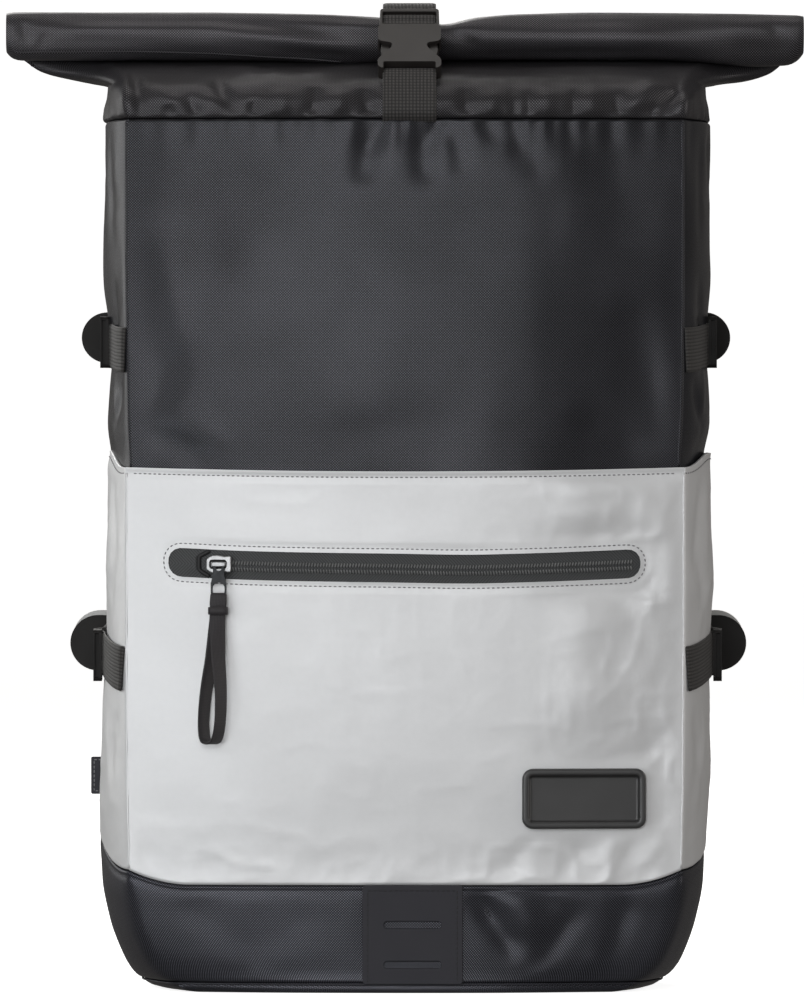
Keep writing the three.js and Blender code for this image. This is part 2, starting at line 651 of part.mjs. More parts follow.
function bucklePlug() {
  const w = BUCKLE.width / 2;
  const low = SOCKET.high + GAP;
  const shape = shapeOf([[-w, low], [w, low], [w - 1, 24.5], [-w + 1, 24.5]]);
  [15.8, 20.6].forEach((y) => {
    shape.holes.push(hole(25.8, 2.4, 0.4, 0, y + 0.6));
  });
  const frame = plate(shape, 5);
  const prongs = [-1, 1].flatMap((sign) => [
    box(sign * 11.1, 4.9, 3.4, 19.6, 3),
    box(sign * 12.2, -0.4, 3, 8, 3),
  ]);
  return join(frame, ...prongs);
}

// Webbing over the roll, from the back panel to the plug: one row for each point of its route
const OVER_ROLL = [
  { y: 64.3, z: 370 },
  { y: 64.2, z: 383 },
  { y: 61.6, z: 397 },
  { y: 59, z: 407 },
  { y: 57, z: 416 },
  { y: 51.6, z: 424.2 },
  { y: 30, z: 439 },
  { y: 6, z: 454.4 },
  { y: -2, z: 459.2 },
  { y: -9, z: 461.2 },
  { y: -14, z: 460.2 },
  { y: -18, z: 457.6 },
  { y: -21, z: 455 },
  { y: -26, z: 450.9 },
];
// Webbing under the socket, from the front seam up and round the lower bar
const UNDER_SOCKET = [
  { y: -66.5, z: 403 },
  { y: -66.9, z: 411 },
  { y: -65.6, z: 420 },
  { y: -63.6, z: 428 },
  { y: -62, z: 432.4 },
  { y: -59.6, z: 435 },
  { y: -56, z: 434.4 },
  { y: -53.6, z: 431 },
  { y: -52, z: 428 },
];

const strapRoute = (rows, x) => rows.map(({ y, z }) => at(x, y, z));

function straightStrap(rows) {
  const path = strapRoute(rows, BUCKLE.x);
  return sweep(path, () => strapSection(WEBBING.wide, WEBBING.thick), () => at(1, 0, 0));
}

// Shoulder straps, one row for each point of the right-hand pad from its top seam down
const SHOULDER = [
  { x: 40, y: 69.6, z: 398, wide: 46, thick: 6 },
  { x: 41, y: 75, z: 392, wide: 52, thick: 8 },
  { x: 44, y: 90, z: 374, wide: 56, thick: 9 },
  { x: 49, y: 104, z: 336, wide: 56, thick: 9 },
  { x: 56, y: 108, z: 290, wide: 55, thick: 9 },
  { x: 64, y: 104, z: 240, wide: 52, thick: 9 },
  { x: 72, y: 95, z: 194, wide: 44, thick: 8 },
  { x: 75, y: 91, z: 178, wide: 34, thick: 5 },
];
// Webbing sewn under each pad's end, down to the back of the base
const STRAP_TAIL = [
  { x: 73.6, y: 88.7, z: 187 },
  { x: 75, y: 87.5, z: 178.8 },
  { x: 76.8, y: 85.8, z: 168 },
  { x: 81, y: 81, z: 144 },
  { x: 90, y: 72.4, z: 98 },
  { x: 97, y: 66.4, z: 70 },
  { x: 100, y: 63.5, z: 50 },
];

const padSection = (wide, thick) => {
  const w = wide / 2;
  const t = thick / 2;
  return [[-w, 0], [-w + t, -t], [w - t, -t], [w, 0], [w - t, t], [-w + t, t]];
};

function shoulderPad(sign) {
  const path = SHOULDER.map(({ x, y, z }) => at(sign * x, y, z));
  return sweep(path, (i) => padSection(SHOULDER[i].wide, SHOULDER[i].thick), () => at(1, 0, 0));
}

function strapTail(sign) {
  const path = STRAP_TAIL.map(({ x, y, z }) => at(sign * x, y, z));
  return sweep(path, () => strapSection(WEBBING.wide, WEBBING.thick), () => at(1, 0, 0));
}

// Assembly
const backpack = new THREE.Group();

function add(name, geometry, material, parent = backpack) {
  const mesh = new THREE.Mesh(geometry, material);
  mesh.name = name;
  parent.add(mesh);
  return mesh;
}

// A group whose own X and Y lie along two directions at a place, so that its Z points out of the cloth
function seat(place, along, up) {
  const x = along.clone().normalize();
  const z = x.clone().cross(up).normalize();
  const group = new THREE.Group();
  group.quaternion.setFromRotationMatrix(new THREE.Matrix4().makeBasis(x, z.clone().cross(x), z));
  group.position.copy(place);
  backpack.add(group);
  return group;
}

add("front_panel", frontPanel(), BALLISTIC);
add("back_panel", backPanel(), PADDING);
add("pocket_front", pocketFront(), PALE);
add("base_wall", baseWall(), BALLISTIC);
add("bottom_panel", bottomPanel(), BALLISTIC);
add("collar", collar(), COLLAR_CLOTH);
add("roll_top", rollTop(), COLLAR_CLOTH);

// Direction of the front along X at a place, from two points either side of it
const alongFront = (x, z, out) => frontPoint(x + 1, z, out).sub(frontPoint(x - 1, z, out));
const UP = at(0, 0, 1);

const badgeOut = LAYER.outer + GAP + BADGE.thick / 2;
const badgeSeat = seat(frontPoint(BADGE.x, BADGE.z, badgeOut), alongFront(BADGE.x, BADGE.z, badgeOut), UP);
add("badge", badge(), RUBBER, badgeSeat);

const patchY = frontPoint(PATCH.x, PATCH.z, LAYER.outer + GAP + PATCH.thick / 2).y;
const patchSeat = seat(at(PATCH.x, patchY, PATCH.z), at(1, 0, 0), UP);
add("base_patch", basePatch(), RUBBER, patchSeat);

add("zip_tape", zipTape(), ZIP_CLOTH);
add("zip_chain", zipChain(), ZIP_CLOTH);
add("zip_garage", zipGarage(), ZIP_CLOTH);
const sliderOut = TAPE_FACE + 1.3;
const sliderAlong = alongFront(ZIP.slider, ZIP.z, sliderOut);
const sliderSeat = seat(frontPoint(ZIP.slider, ZIP.z, sliderOut), sliderAlong, UP);
add("zip_slider", zipSlider(), STEEL, sliderSeat);
add("pull_tab", pullTab(), PLASTIC, sliderSeat).position.z = 2.6;
const eyeZ = 0.7 - TAB.eyeDrop;
const loop = add("pull_loop", pullLoop().rotateX(-Math.PI / 2), STRAP_CLOTH, sliderSeat);
loop.position.set(0, eyeZ - 0.3, 2.6);
const keeper = add("loop_keeper", loopKeeper().rotateX(-Math.PI / 2), STRAP_CLOTH, sliderSeat);
keeper.position.set(0, eyeZ - 10, 2.9);

const buckleGroup = new THREE.Group();
buckleGroup.position.set(BUCKLE.x, BUCKLE.y, BUCKLE.z);
buckleGroup.rotation.x = degToRad(BUCKLE.lean);
backpack.add(buckleGroup);
add("buckle_socket", buckleSocket(), PLASTIC, buckleGroup);
add("buckle_plug", bucklePlug(), PLASTIC, buckleGroup);
add("roll_strap", straightStrap(OVER_ROLL), STRAP_CLOTH);
add("buckle_strap", straightStrap(UNDER_SOCKET), STRAP_CLOTH);

for (const [side, sign] of [["left", -1], ["right", 1]]) {
  add("side_panel_" + side, sidePanel(side), BALLISTIC);
  add("side_pocket_" + side, sidePocket(side), PALE);
  for (const row of SIDE_STRAPS) {
    const label = side + "_" + row.level;
    add("side_strap_" + label, sideStrap(side, row), STRAP_CLOTH);
    const middle = strapAlong(row, SIDE_RUN.buckle, (BAR.low + BAR.high) / 2);
    const place = formPoint(side, middle.share, middle.z, middle.out);
    const ahead = strapAlong(row, SIDE_RUN.buckle + BAR.reach, 0);
    const along = formPoint(side, ahead.share, ahead.z, middle.out);
    const behind = strapAlong(row, SIDE_RUN.buckle - BAR.reach, 0);
    along.sub(formPoint(side, behind.share, behind.z, middle.out));
    const adjusterSeat = seat(place, along.multiplyScalar(sign), UP);
    add("side_adjuster_" + label, adjuster(WEBBING.side), PLASTIC, adjusterSeat);
    const root = strapAlong(row, SIDE_RUN.wing, 0);
    const rootPoint = formPoint(side, root.share, root.z, row.over + GAP);
    const reach = row.wingReach - Math.abs(rootPoint.x);
    const wingPlate = wing(reach, row.wingRadius).rotateX(Math.PI / 2);
    const wingMesh = add("strap_wing_" + label, wingPlate, BALLISTIC);
    wingMesh.position.copy(rootPoint);
    wingMesh.position.y += 2;
    if (side === "left") wingMesh.rotation.z = Math.PI;
  }
  add("shoulder_pad_" + side, shoulderPad(sign), PADDING);
  add("strap_tail_" + side, strapTail(sign), STRAP_CLOTH);
}

// Folded tag on the left side pocket
const tagRoot = formPoint("left", LABEL.share, LABEL.z, LAYER.outer + GAP);
const tag = plate(roundedRect(LABEL.length, LABEL.height, 0.8), LABEL.thick, 2).rotateX(Math.PI / 2);
add("side_label", tag, STRAP_CLOTH).position.copy(tagRoot).add(at(-LABEL.length / 2, 0, 0));

export default backpack;
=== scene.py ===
import itertools
import math
import bmesh
import bpy
import numpy as np
from mathutils import Matrix, Vector


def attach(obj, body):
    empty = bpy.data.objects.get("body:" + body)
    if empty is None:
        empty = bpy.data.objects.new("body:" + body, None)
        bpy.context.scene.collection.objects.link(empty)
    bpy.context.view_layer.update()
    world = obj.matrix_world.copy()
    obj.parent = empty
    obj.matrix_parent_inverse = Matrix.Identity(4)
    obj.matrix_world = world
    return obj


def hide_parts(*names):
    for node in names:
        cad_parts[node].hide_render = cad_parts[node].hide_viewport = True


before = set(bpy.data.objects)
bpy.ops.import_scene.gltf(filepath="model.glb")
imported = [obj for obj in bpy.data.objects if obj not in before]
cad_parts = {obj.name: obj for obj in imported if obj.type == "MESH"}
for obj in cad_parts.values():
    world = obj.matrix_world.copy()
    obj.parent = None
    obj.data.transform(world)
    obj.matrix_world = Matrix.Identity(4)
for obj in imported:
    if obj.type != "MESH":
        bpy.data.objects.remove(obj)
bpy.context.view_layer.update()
scene = bpy.context.scene
mm = 0.001  # every size below is in millimetres
print("frame loaded with", len(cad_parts), "nodes")


# small maths

def smoothStep(value, low, high):
    t = np.clip((value - low) / (high - low), 0, 1)
    return t * t * (3 - 2 * t)


def smoothCurve(places, values):
    # a smooth line through a table that doesn't overshoot its rows
    x, y = np.array(places, float), np.array(values, float)
    step = np.diff(x)
    slope = np.diff(y) / step
    before, after = slope[:-1], slope[1:]
    level = before * after <= 0
    middle = np.where(level, 0, 2 * before * after / np.where(level, 1, before + after))
    tangent = np.concatenate([slope[:1], middle, slope[-1:]])

    def at(place):
        place = np.clip(place, x[0], x[-1])
        i = np.clip(np.searchsorted(x, place) - 1, 0, len(step) - 1)
        t = (place - x[i]) / step[i]
        rise = y[i] * (1 + 2 * t) * (1 - t) ** 2 + y[i + 1] * t * t * (3 - 2 * t)
        return rise + step[i] * t * (1 - t) * (tangent[i] * (1 - t) - tangent[i + 1] * t)

    return at


def softNoise(points, size, seed):
    # smooth noise from -1 to 1, the same on every run
    grid = np.asarray(points) / size + 31.7 * seed
    cell = np.floor(grid).astype(np.int64)
    t = grid - cell
    t = t * t * t * (t * (6 * t - 15) + 10)
    total = 0
    for corner in itertools.product((0, 1), repeat=3):
        key = (cell + corner) @ np.array([374761393, 668265263, 1440662683])
        key = ((key ^ (key >> 13)) * 1274126177) & 0x7FFFFFFF
        weight = np.prod(np.where(np.array(corner) == 1, t, 1 - t), axis=-1)
        total = total + weight * (((key ^ (key >> 15)) & 0xFFFF) / 32767.5 - 1)
    return total


def crumple(points, layers, seed):
    # layers of (size, deep, crease): crease 0 rolls softly, 1 makes sharp folds
    height = 0
    for i, (size, deep, crease) in enumerate(layers):
        bent = points + 0.35 * size * softNoise(points, 1.7 * size, seed + 5 + i)[..., None]
        wave = softNoise(bent, size, seed + i)
        height = height + deep * ((1 - crease) * wave + crease * (1 - 2 * np.sqrt(np.abs(wave) + 0.02)))
    return height


def foldRelief(across, up, folds):
    # folds are rows of (start across, start up, end across, end up, wide, deep)
    height = np.zeros(np.broadcast(across, up).shape)
    for a0, u0, a1, u1, wide, deep in folds:
        length = math.hypot(a1 - a0, u1 - u0)
        along = ((across - a0) * (a1 - a0) + (up - u0) * (u1 - u0)) / length ** 2
        aside = ((across - a0) * (u1 - u0) - (up - u0) * (a1 - a0)) / length
        ends = smoothStep(along, -0.2, 0.3) * (1 - smoothStep(along, 0.6, 1.2))
        height = height - deep * np.exp(-(aside / wide) ** 2) * ends
    return height


def turnIn(distance, radius):
    # how far a sewn edge turns under, close to its seam
    near = np.clip(1 - distance / radius, 0, 1)
    return -radius * (1 - np.sqrt(1 - near ** 2))


def edgeSpaced(low, high, step, fine=(0, 0.4, 0.9, 1.5, 2.3, 3.4)):
    # even spacing with finer rows at both ends
    count = max(2, round((high - low - 2 * fine[-1]) / step))
    inner = np.linspace(low + fine[-1], high - fine[-1], count + 1)[1:-1]
    return np.concatenate([low + np.array(fine), inner, high - np.array(fine)[::-1]])


def gridNormals(points):
    normal = np.cross(np.gradient(points, axis=1), np.gradient(points, axis=0))
    return normal / np.maximum(np.linalg.norm(normal, axis=-1, keepdims=True), 1e-9)


def catmullRom(p0, p1, p2, p3, t):
    return 0.5 * (2 * p1 + (p2 - p0) * t + (2 * p0 - 5 * p1 + 4 * p2 - p3) * t ** 2
                  + (3 * p1 - p0 - 3 * p2 + p3) * t ** 3)


def splinePath(points, step):
    # a smooth line through the given points, in even steps
    points = np.array(points, float)
    ahead = np.vstack([points[:1] * 2 - points[1:2], points, points[-1:] * 2 - points[-2:-1]])
    made = []
    for p0, p1, p2, p3 in zip(ahead, ahead[1:], ahead[2:], ahead[3:]):
        made.append(catmullRom(p0, p1, p2, p3, np.linspace(0, 1, 24, endpoint=False)[:, None]))
    return evenSteps(np.vstack([*made, points[-1:]]), step)


def closedSpline(points, place):
    # a smooth closed line through the points, read at places counted in points
    i = np.floor(place).astype(int)
    around = [points[(i + k) % len(points)] for k in (-1, 0, 1, 2)]
    return catmullRom(*around, (place - np.floor(place))[:, None])


def runAlong(line):
    # distance from the first row, along every column
    return np.cumsum(np.linalg.norm(np.diff(line, axis=0, prepend=line[:1]), axis=-1), 0)


def spread(*parts):
    # the parts as one array of points, each drawn out to the same shape
    return np.stack(np.broadcast_arrays(*parts), -1)


def evenSteps(line, step):
    run = runAlong(line)
    stops = np.linspace(0, run[-1], max(2, round(run[-1] / step)) + 1)
    return np.stack([np.interp(stops, run, line[:, i]) for i in range(3)], -1)


# meshes

def meshPiece(name, points, faces, uv=None):
    mesh = bpy.data.meshes.new(name)
    mesh.from_pydata((np.asarray(points) * mm).tolist(), [], [list(map(int, face)) for face in faces])
    if uv is not None:
        layer = mesh.uv_layers.new(name="cloth")
        corners = np.concatenate([np.asarray(face, int) for face in faces])
        layer.data.foreach_set("uv", np.asarray(uv, np.float32)[corners].ravel())
    mesh.polygons.foreach_set("use_smooth", [True] * len(mesh.polygons))
    piece = bpy.data.objects.new(name, mesh)
    scene.collection.objects.link(piece)
    return piece


def gridSheet(name, points, uv):
    # rows go up and columns go right, seen from outside
    rows, columns = points.shape[:2]
    index = np.arange(rows * columns).reshape(rows, columns)
    quads = np.stack([index[:-1, :-1], index[:-1, 1:], index[1:, 1:], index[1:, :-1]], -1)
    return meshPiece(name, points.reshape(-1, 3), quads.reshape(-1, 4), uv.reshape(-1, 2))


def sweepBand(name, path, across, sections, closed=False):
    # a section of (across, out) points carried along a path, its UV in millimetres
    path = np.asarray(path, float)
    across = np.broadcast_to(np.asarray(across, float), path.shape)
    count = len(path)
    if closed:
        tangent = np.roll(path, -1, 0) - np.roll(path, 1, 0)
    else:
        tangent = np.gradient(path, axis=0)
    tangent /= np.linalg.norm(tangent, axis=1, keepdims=True)
    wide = across - tangent * (across * tangent).sum(1, keepdims=True)
    wide /= np.linalg.norm(wide, axis=1, keepdims=True)
    out = np.cross(tangent, wide)
    sections = np.broadcast_to(np.asarray(sections, float), (count, *np.shape(sections)[-2:]))
    points = path[:, None] + sections[..., :1] * wide[:, None] + sections[..., 1:] * out[:, None]
    sides = points.shape[1]
    run = runAlong(path)
    uv = np.stack([sections[..., 0], np.broadcast_to(run[:, None], (count, sides))], -1)
    index = np.arange(count * sides).reshape(count, sides)
    ahead, beside = np.roll(index, -1, 0), np.roll(index, -1, 1)
    quads = np.stack([index, beside, np.roll(beside, -1, 0), ahead], -1)
    faces = list(quads[: None if closed else -1].reshape(-1, 4))
    if not closed:
        faces += [index[0][::-1], index[-1]]
    return faceOut(meshPiece(name, points.reshape(-1, 3), faces, uv.reshape(-1, 2)))


def faceOut(piece):
    mesh = bmesh.new()
    mesh.from_mesh(piece.data)
    if mesh.calc_volume(signed=True) < 0:
        bmesh.ops.reverse_faces(mesh, faces=mesh.faces)
    mesh.to_mesh(piece.data)
    mesh.free()
    return piece


def roundSection(radius, sides=8):
    turn = np.linspace(0, 2 * np.pi, sides, endpoint=False)
    return np.stack([radius * np.cos(turn), radius * np.sin(turn)], -1)


def beadAlong(name, path, radius, across=(1, 0, 0), sides=8):
    # a thin round edge, such as a sewn ridge or a binding
    return sweepBand(name, path, across, roundSection(radius, sides))


def capsules(name, starts, ends, radius, sides=6):
    # many short round-ended threads in one mesh
    starts, ends = np.asarray(starts, float), np.asarray(ends, float)
    along = ends - starts
    length = np.linalg.norm(along, axis=1, keepdims=True)
    along = along / length
    helper = np.where(np.abs(along[:, 2:]) > 0.8, [[1.0, 0, 0]], [[0, 0, 1.0]])
    wide = np.cross(along, helper)
    wide /= np.linalg.norm(wide, axis=1, keepdims=True)
    out = np.cross(wide, along)
    turn = np.linspace(0, 2 * np.pi, sides, endpoint=False)
    ring = wide[:, None] * np.cos(turn)[:, None] + out[:, None] * np.sin(turn)[:, None]
    rings = [(0, 0.45), (0.18, 1), (0.82, 1), (1, 0.45)]
    points = np.stack([starts[:, None] + (along * length)[:, None] * share + radius * swell * ring
                       for share, swell in rings], 1)
    count = points.shape[1] * sides
    one = np.arange(count).reshape(len(rings), sides)
    beside = np.roll(one, -1, 1)
    quads = np.stack([one[:-1], one[1:], beside[1:], beside[:-1]], -1).reshape(-1, 4)
    caps = [one[0], one[-1][::-1]]
    faces = []
    for i in range(len(starts)):
        faces += [*(quads + i * count), caps[0] + i * count, caps[1] + i * count]
    return meshPiece(name, points.reshape(-1, 3), faces)


def stitches(name, lines, pitch, length, radius):
    # thread along each line of points
    starts, ends = [], []
    for line in lines:
        fine = evenSteps(np.asarray(line), pitch)
        toNext = np.diff(fine, axis=0)
        starts.append(fine[:-1])
        ends.append(fine[:-1] + toNext * (length / pitch))
    return capsules(name, np.vstack(starts), np.vstack(ends), radius)


def borderStitches(name, middle, line, pitch, length, radius):
    # thread from corner to corner, each (across, up) from the middle
    corners = [np.array(middle) + (across, 0, up) for across, up in line]
    return stitches(name, [np.array(pair) for pair in zip(corners, corners[1:])], pitch, length, radius)


def applyModifier(piece, kind, **settings):
    modifier = piece.modifiers.new(kind.lower(), kind)
    for key, value in settings.items():
        setattr(modifier, key, value)
    bpy.context.view_layer.objects.active = piece
    bpy.ops.object.modifier_apply(modifier=modifier.name)


def thicken(piece, thick):
    applyModifier(piece, "SOLIDIFY", thickness=thick * mm, offset=-1)
    return piece


def finishPiece(piece, material, slotName, *nodes):
    piece.data.materials.clear()
    piece.data.materials.append(material)
    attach(piece, "root")
    if nodes:
        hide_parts(*nodes)
    return piece


def sewSheet(name, points, uv, thick, material, slotName, node):
    # a cloth panel with its thickness, in place of its solid
    return finishPiece(thicken(gridSheet(name, points, uv), thick), material, slotName, node)


# hard pieces, modelled by hand

def startHand():
    if bpy.context.mode != "OBJECT":
        bpy.ops.object.mode_set(mode="OBJECT")
    bpy.ops.object.select_all(action="DESELECT")


def onlySelect(piece):
    startHand()
    piece.select_set(True)
    bpy.context.view_layer.objects.active = piece


def takeNew(name):
    piece = bpy.context.active_object
    piece.name = piece.data.name = name
    return piece


def pick(piece, part, test):
    # in edit mode, select what passes the test
    bpy.ops.mesh.select_mode(type=part)
    bpy.ops.mesh.select_all(action="DESELECT")
    mesh = bmesh.from_edit_mesh(piece.data)
    for item in {"VERT": mesh.verts, "EDGE": mesh.edges, "FACE": mesh.faces}[part]:
        item.select_set(bool(test(item)))
    mesh.select_flush_mode()
    bmesh.update_edit_mesh(piece.data)


def upright(edge):
    a, b = edge.verts
    return abs((a.co - b.co).normalized().z) > 0.9


def roundedPlate(name, width, height, thick, corner, segments=6):
    startHand()
    bpy.ops.mesh.primitive_cube_add(size=1)
    piece = takeNew(name)
    bpy.ops.transform.resize(value=(width * mm, height * mm, thick * mm))
    bpy.ops.object.transform_apply(location=False, rotation=False, scale=True)
    bpy.ops.object.mode_set(mode="EDIT")
    pick(piece, "EDGE", upright)
    bpy.ops.mesh.bevel(offset=corner * mm, segments=segments, affect="EDGES")
    bpy.ops.object.mode_set(mode="OBJECT")
    return piece


def outlinePlate(name, rows, thick):
    # rows of (up, half width), extruded one after another from the lowest edge
    startHand()
    bpy.ops.mesh.primitive_plane_add(size=2)
    piece = takeNew(name)
    (low, lowHalf), (high, half) = rows[:2]
    bpy.ops.object.mode_set(mode="EDIT")
    for up, wide, sign in ((low, lowHalf, -1), (high, half, 1)):
        pick(piece, "VERT", lambda v, sign=sign: v.co.y * sign > 0.5)
        bpy.ops.transform.resize(value=(wide * mm, 0, 1), center_override=(0, 0, 0))
        bpy.ops.transform.translate(value=(0, up * mm, 0))
    for up, wide in rows[2:]:
        pick(piece, "VERT", lambda v, high=high: v.co.y > high * mm - 1e-7)
        bpy.ops.mesh.extrude_region_move(TRANSFORM_OT_translate={"value": (0, (up - high) * mm, 0)})
        bpy.ops.transform.resize(value=(wide / half, 1, 1), center_override=(0, up * mm, 0))
        high, half = up, wide
    pick(piece, "FACE", lambda face: True)
    bpy.ops.mesh.extrude_region_move(TRANSFORM_OT_translate={"value": (0, 0, thick * mm)})
    bpy.ops.mesh.select_all(action="SELECT")
    bpy.ops.transform.translate(value=(0, 0, -thick / 2 * mm))
    bpy.ops.mesh.normals_make_consistent(inside=False)
    bpy.ops.object.mode_set(mode="OBJECT")
    return piece


def cutWith(piece, cutter):
    applyModifier(piece, "BOOLEAN", object=cutter, operation="DIFFERENCE", solver="EXACT")
    bpy.data.objects.remove(cutter)
    return piece


def moveBy(piece, x=0, y=0, z=0):
    onlySelect(piece)
    bpy.ops.transform.translate(value=(x * mm, y * mm, z * mm))
    bpy.ops.object.transform_apply(location=True, rotation=False, scale=False)
    return piece


def softenEdges(piece, width, segments=3, angle=35):
    applyModifier(piece, "BEVEL", width=width * mm, segments=segments, limit_method="ANGLE",
                  angle_limit=math.radians(angle), harden_normals=False)
    onlySelect(piece)
    bpy.ops.object.shade_smooth_by_angle(angle=math.radians(60))
    applyModifier(piece, "WEIGHTED_NORMAL", keep_sharp=True)
    return piece


def joinPieces(first, *others):
    onlySelect(first)
    for other in others:
        other.select_set(True)
    bpy.ops.object.join()
    return first


def seatPiece(piece, place, along, up=(0, 0, 1)):
    # the piece's own X lies along the cloth and its Z points out of it
    x = Vector(along).normalized()
    z = x.cross(Vector(up)).normalized()
    turned = Matrix((x, z.cross(x), z)).transposed().to_4x4()
    piece.matrix_world = Matrix.Translation(Vector(place) * mm) @ turned
    onlySelect(piece)
    bpy.ops.object.transform_apply(location=True, rotation=True, scale=True)
    return piece


# shader maths

class Shade:
    # wraps a socket, so that sums on it add their own nodes
    def __init__(self, tree, socket=None):
        self.tree, self.socket = tree, socket

    def node(self, kind, settings=None, inputs=None, output=0):
        made = self.tree.nodes.new(kind)
        for key, value in (settings or {}).items():
            setattr(made, key, value)
        for key, value in (inputs or {}).items():
            if isinstance(value, Shade):
                self.tree.links.new(value.socket, made.inputs[key])
            else:
                made.inputs[key].default_value = value
        return Shade(self.tree, made.outputs[output])

    def other(self, output):
        return Shade(self.tree, self.socket.node.outputs[output])

    def maths(self, operation, *values):
        return self.node("ShaderNodeMath", {"operation": operation}, dict(enumerate(values)))

    def __add__(self, value):
        return self.maths("ADD", self, value)

    def __radd__(self, value):
        return self.maths("ADD", value, self)

    def __sub__(self, value):
        return self.maths("SUBTRACT", self, value)

    def __rsub__(self, value):
        return self.maths("SUBTRACT", value, self)

    def __mul__(self, value):
        return self.maths("MULTIPLY", self, value)

    def __rmul__(self, value):
        return self.maths("MULTIPLY", value, self)

    def __pow__(self, value):
        return self.maths("POWER", self, value)

    def __abs__(self):
        return self.maths("ABSOLUTE", self)

    def wave(self, pitch):
        return self.maths("SINE", self * (math.pi / pitch))

    def clamped(self):
        return self.node("ShaderNodeClamp", None, {0: self})

    def mix(self, low, high):
        return self.node("ShaderNodeMix", {"data_type": "RGBA"}, {0: self, 6: low, 7: high}, 2)

    def noise(self, where, scale, detail=2.0):
        return self.node("ShaderNodeTexNoise", None, {"Vector": where, "Scale": scale, "Detail": detail})

    def bump(self, height, strength, distance):
        inputs = {"Height": height, "Strength": strength, "Distance": distance * mm}
        return self.node("ShaderNodeBump", None, inputs)

    def clothPlace(self):
        place = self.node("ShaderNodeUVMap", {"uv_map": "cloth"})
        return place, self.node("ShaderNodeSeparateXYZ", None, {0: place})

    def solidPlace(self):
        return self.node("ShaderNodeTexCoord", None, None, "Object")


def newMaterial(name, **fixed):
    material = bpy.data.materials.new(name)
    material.use_nodes = True
    shader = material.node_tree.nodes["Principled BSDF"]
    for socket, value in fixed.items():
        shader.inputs[socket.replace("_", " ")].default_value = value
    shade = Shade(material.node_tree)

    def feed(**links):
        for socket, value in links.items():
            material.node_tree.links.new(value.socket, shader.inputs[socket.replace("_", " ")])

    return material, shade, feed


def tone(*rgb):
    return (*rgb, 1)


nylonWeave = {"pitch": 0.62, "bump": 0.1}


def ballisticNylon(name, look):
    # coarse plain weave: every other thread crossing is a bright float, dull in between
    material, shade, feed = newMaterial(name, Specular_IOR_Level=look["gloss"])
    place, across = shade.clothPlace()
    up = across.other("Y")
    fibre = shade.noise(place, 0.9, 2)
    cloud = shade.noise(place, 0.012, 3)
    crossing = across.wave(nylonWeave["pitch"]) * up.wave(nylonWeave["pitch"])
    floats = (crossing * 0.5 + 0.5) ** 4
    shine = (floats * (0.6 + 0.5 * fibre) + 0.25 * cloud - 0.1).clamped()
    feed(Base_Color=shine.mix(tone(*look["dark"]), tone(*look["light"])),
         Metallic=(shine * look["shine"]).clamped(),
         Roughness=look["rough"] - 0.08 * floats,
         Normal=shade.bump(abs(crossing) + 0.3 * fibre, nylonWeave["bump"], 0.25))
    return material


def coatedCloth(name, look):
    # pale coated nylon: a very fine weave under the film, faint creases and rubbed spots
    material, shade, feed = newMaterial(name, Metallic=look["metal"], Specular_IOR_Level=look["gloss"])
    place, across = shade.clothPlace()
    weave = across.wave(0.55) * across.other("Y").wave(0.55)
    cloud = shade.noise(place, 0.02, 4)
    speck = shade.noise(place, 0.35, 3)
    crease = shade.node("ShaderNodeTexVoronoi", {"feature": "DISTANCE_TO_EDGE"},
                        {"Vector": place, "Scale": 0.045, "Randomness": 1.0})
    worn = (cloud * 0.7 + speck * 0.3).clamped()
    height = abs(weave) * 0.12 + speck * 0.25 + (crease * 3).clamped() * 0.15
    feed(Base_Color=worn.mix(tone(*look["dark"]), tone(*look["light"])),
         Roughness=look["rough"] + 0.16 * cloud - 0.08 * speck,
         Normal=shade.bump(height, look["bump"], 0.3))
    return material


def ribbedWebbing(name, look):
    # ribs along the strap, each crossed by slanted picks
    material, shade, feed = newMaterial(name, Sheen_Weight=0.06, Sheen_Roughness=0.5)
    place, across = shade.clothPlace()
    along = across.other("Y")
    rib = abs(across.wave(look["rib"]))
    pick = abs(along.wave(look["pick"]))
    fibre = shade.noise(place, 1.4, 2)
    height = rib ** 0.7 * (1 - look["rows"] + look["rows"] * pick)
    # base colour follows the rib height, lighter on the rib tops and darker in the grooves: painted shade,
    # mixed with real fibre tone
    depth = (height ** 1.5 * (0.6 + 0.7 * fibre)).clamped()
    feed(Base_Color=depth.mix(tone(*look["dark"]), tone(*look["light"])),
         Roughness=look["rough"] - 0.1 * rib,
         Normal=shade.bump(height + 0.2 * fibre, look["bump"], 0.35))
    return material


def twillTape(name, look):
    material, shade, feed = newMaterial(name, Sheen_Weight=0.1)
    place, across = shade.clothPlace()
    slant = abs((across + abs(across.other("Y") - look["spine"])).wave(look["pitch"]))
    fibre = shade.noise(place, 1.2, 2)
    # base colour lighter on the twill ridges and darker between them: painted shade, mixed with real fibre
    # tone
    depth = (slant * 0.7 + fibre * 0.3).clamped()
    feed(Base_Color=depth.mix(tone(*look["dark"]), tone(*look["light"])),
         Roughness=look["rough"] - 0.1 * slant,
         Normal=shade.bump(slant + 0.2 * fibre, look["bump"], 0.2))
    return material


def mouldedPlastic(name, look):
    # fine spark-eroded grain, rubbed a little smoother in patches
    material, shade, feed = newMaterial(name, Specular_IOR_Level=look["gloss"])
    place = shade.solidPlace()
    grain = shade.noise(place, 4200, 2)
    rubbed = shade.noise(place, 90, 3)
    feed(Base_Color=rubbed.mix(tone(*look["dark"]), tone(*look["light"])),
         Roughness=look["rough"] + 0.18 * rubbed - 0.06 * grain,
         Normal=shade.bump(grain, look["bump"], 0.05))
    return material


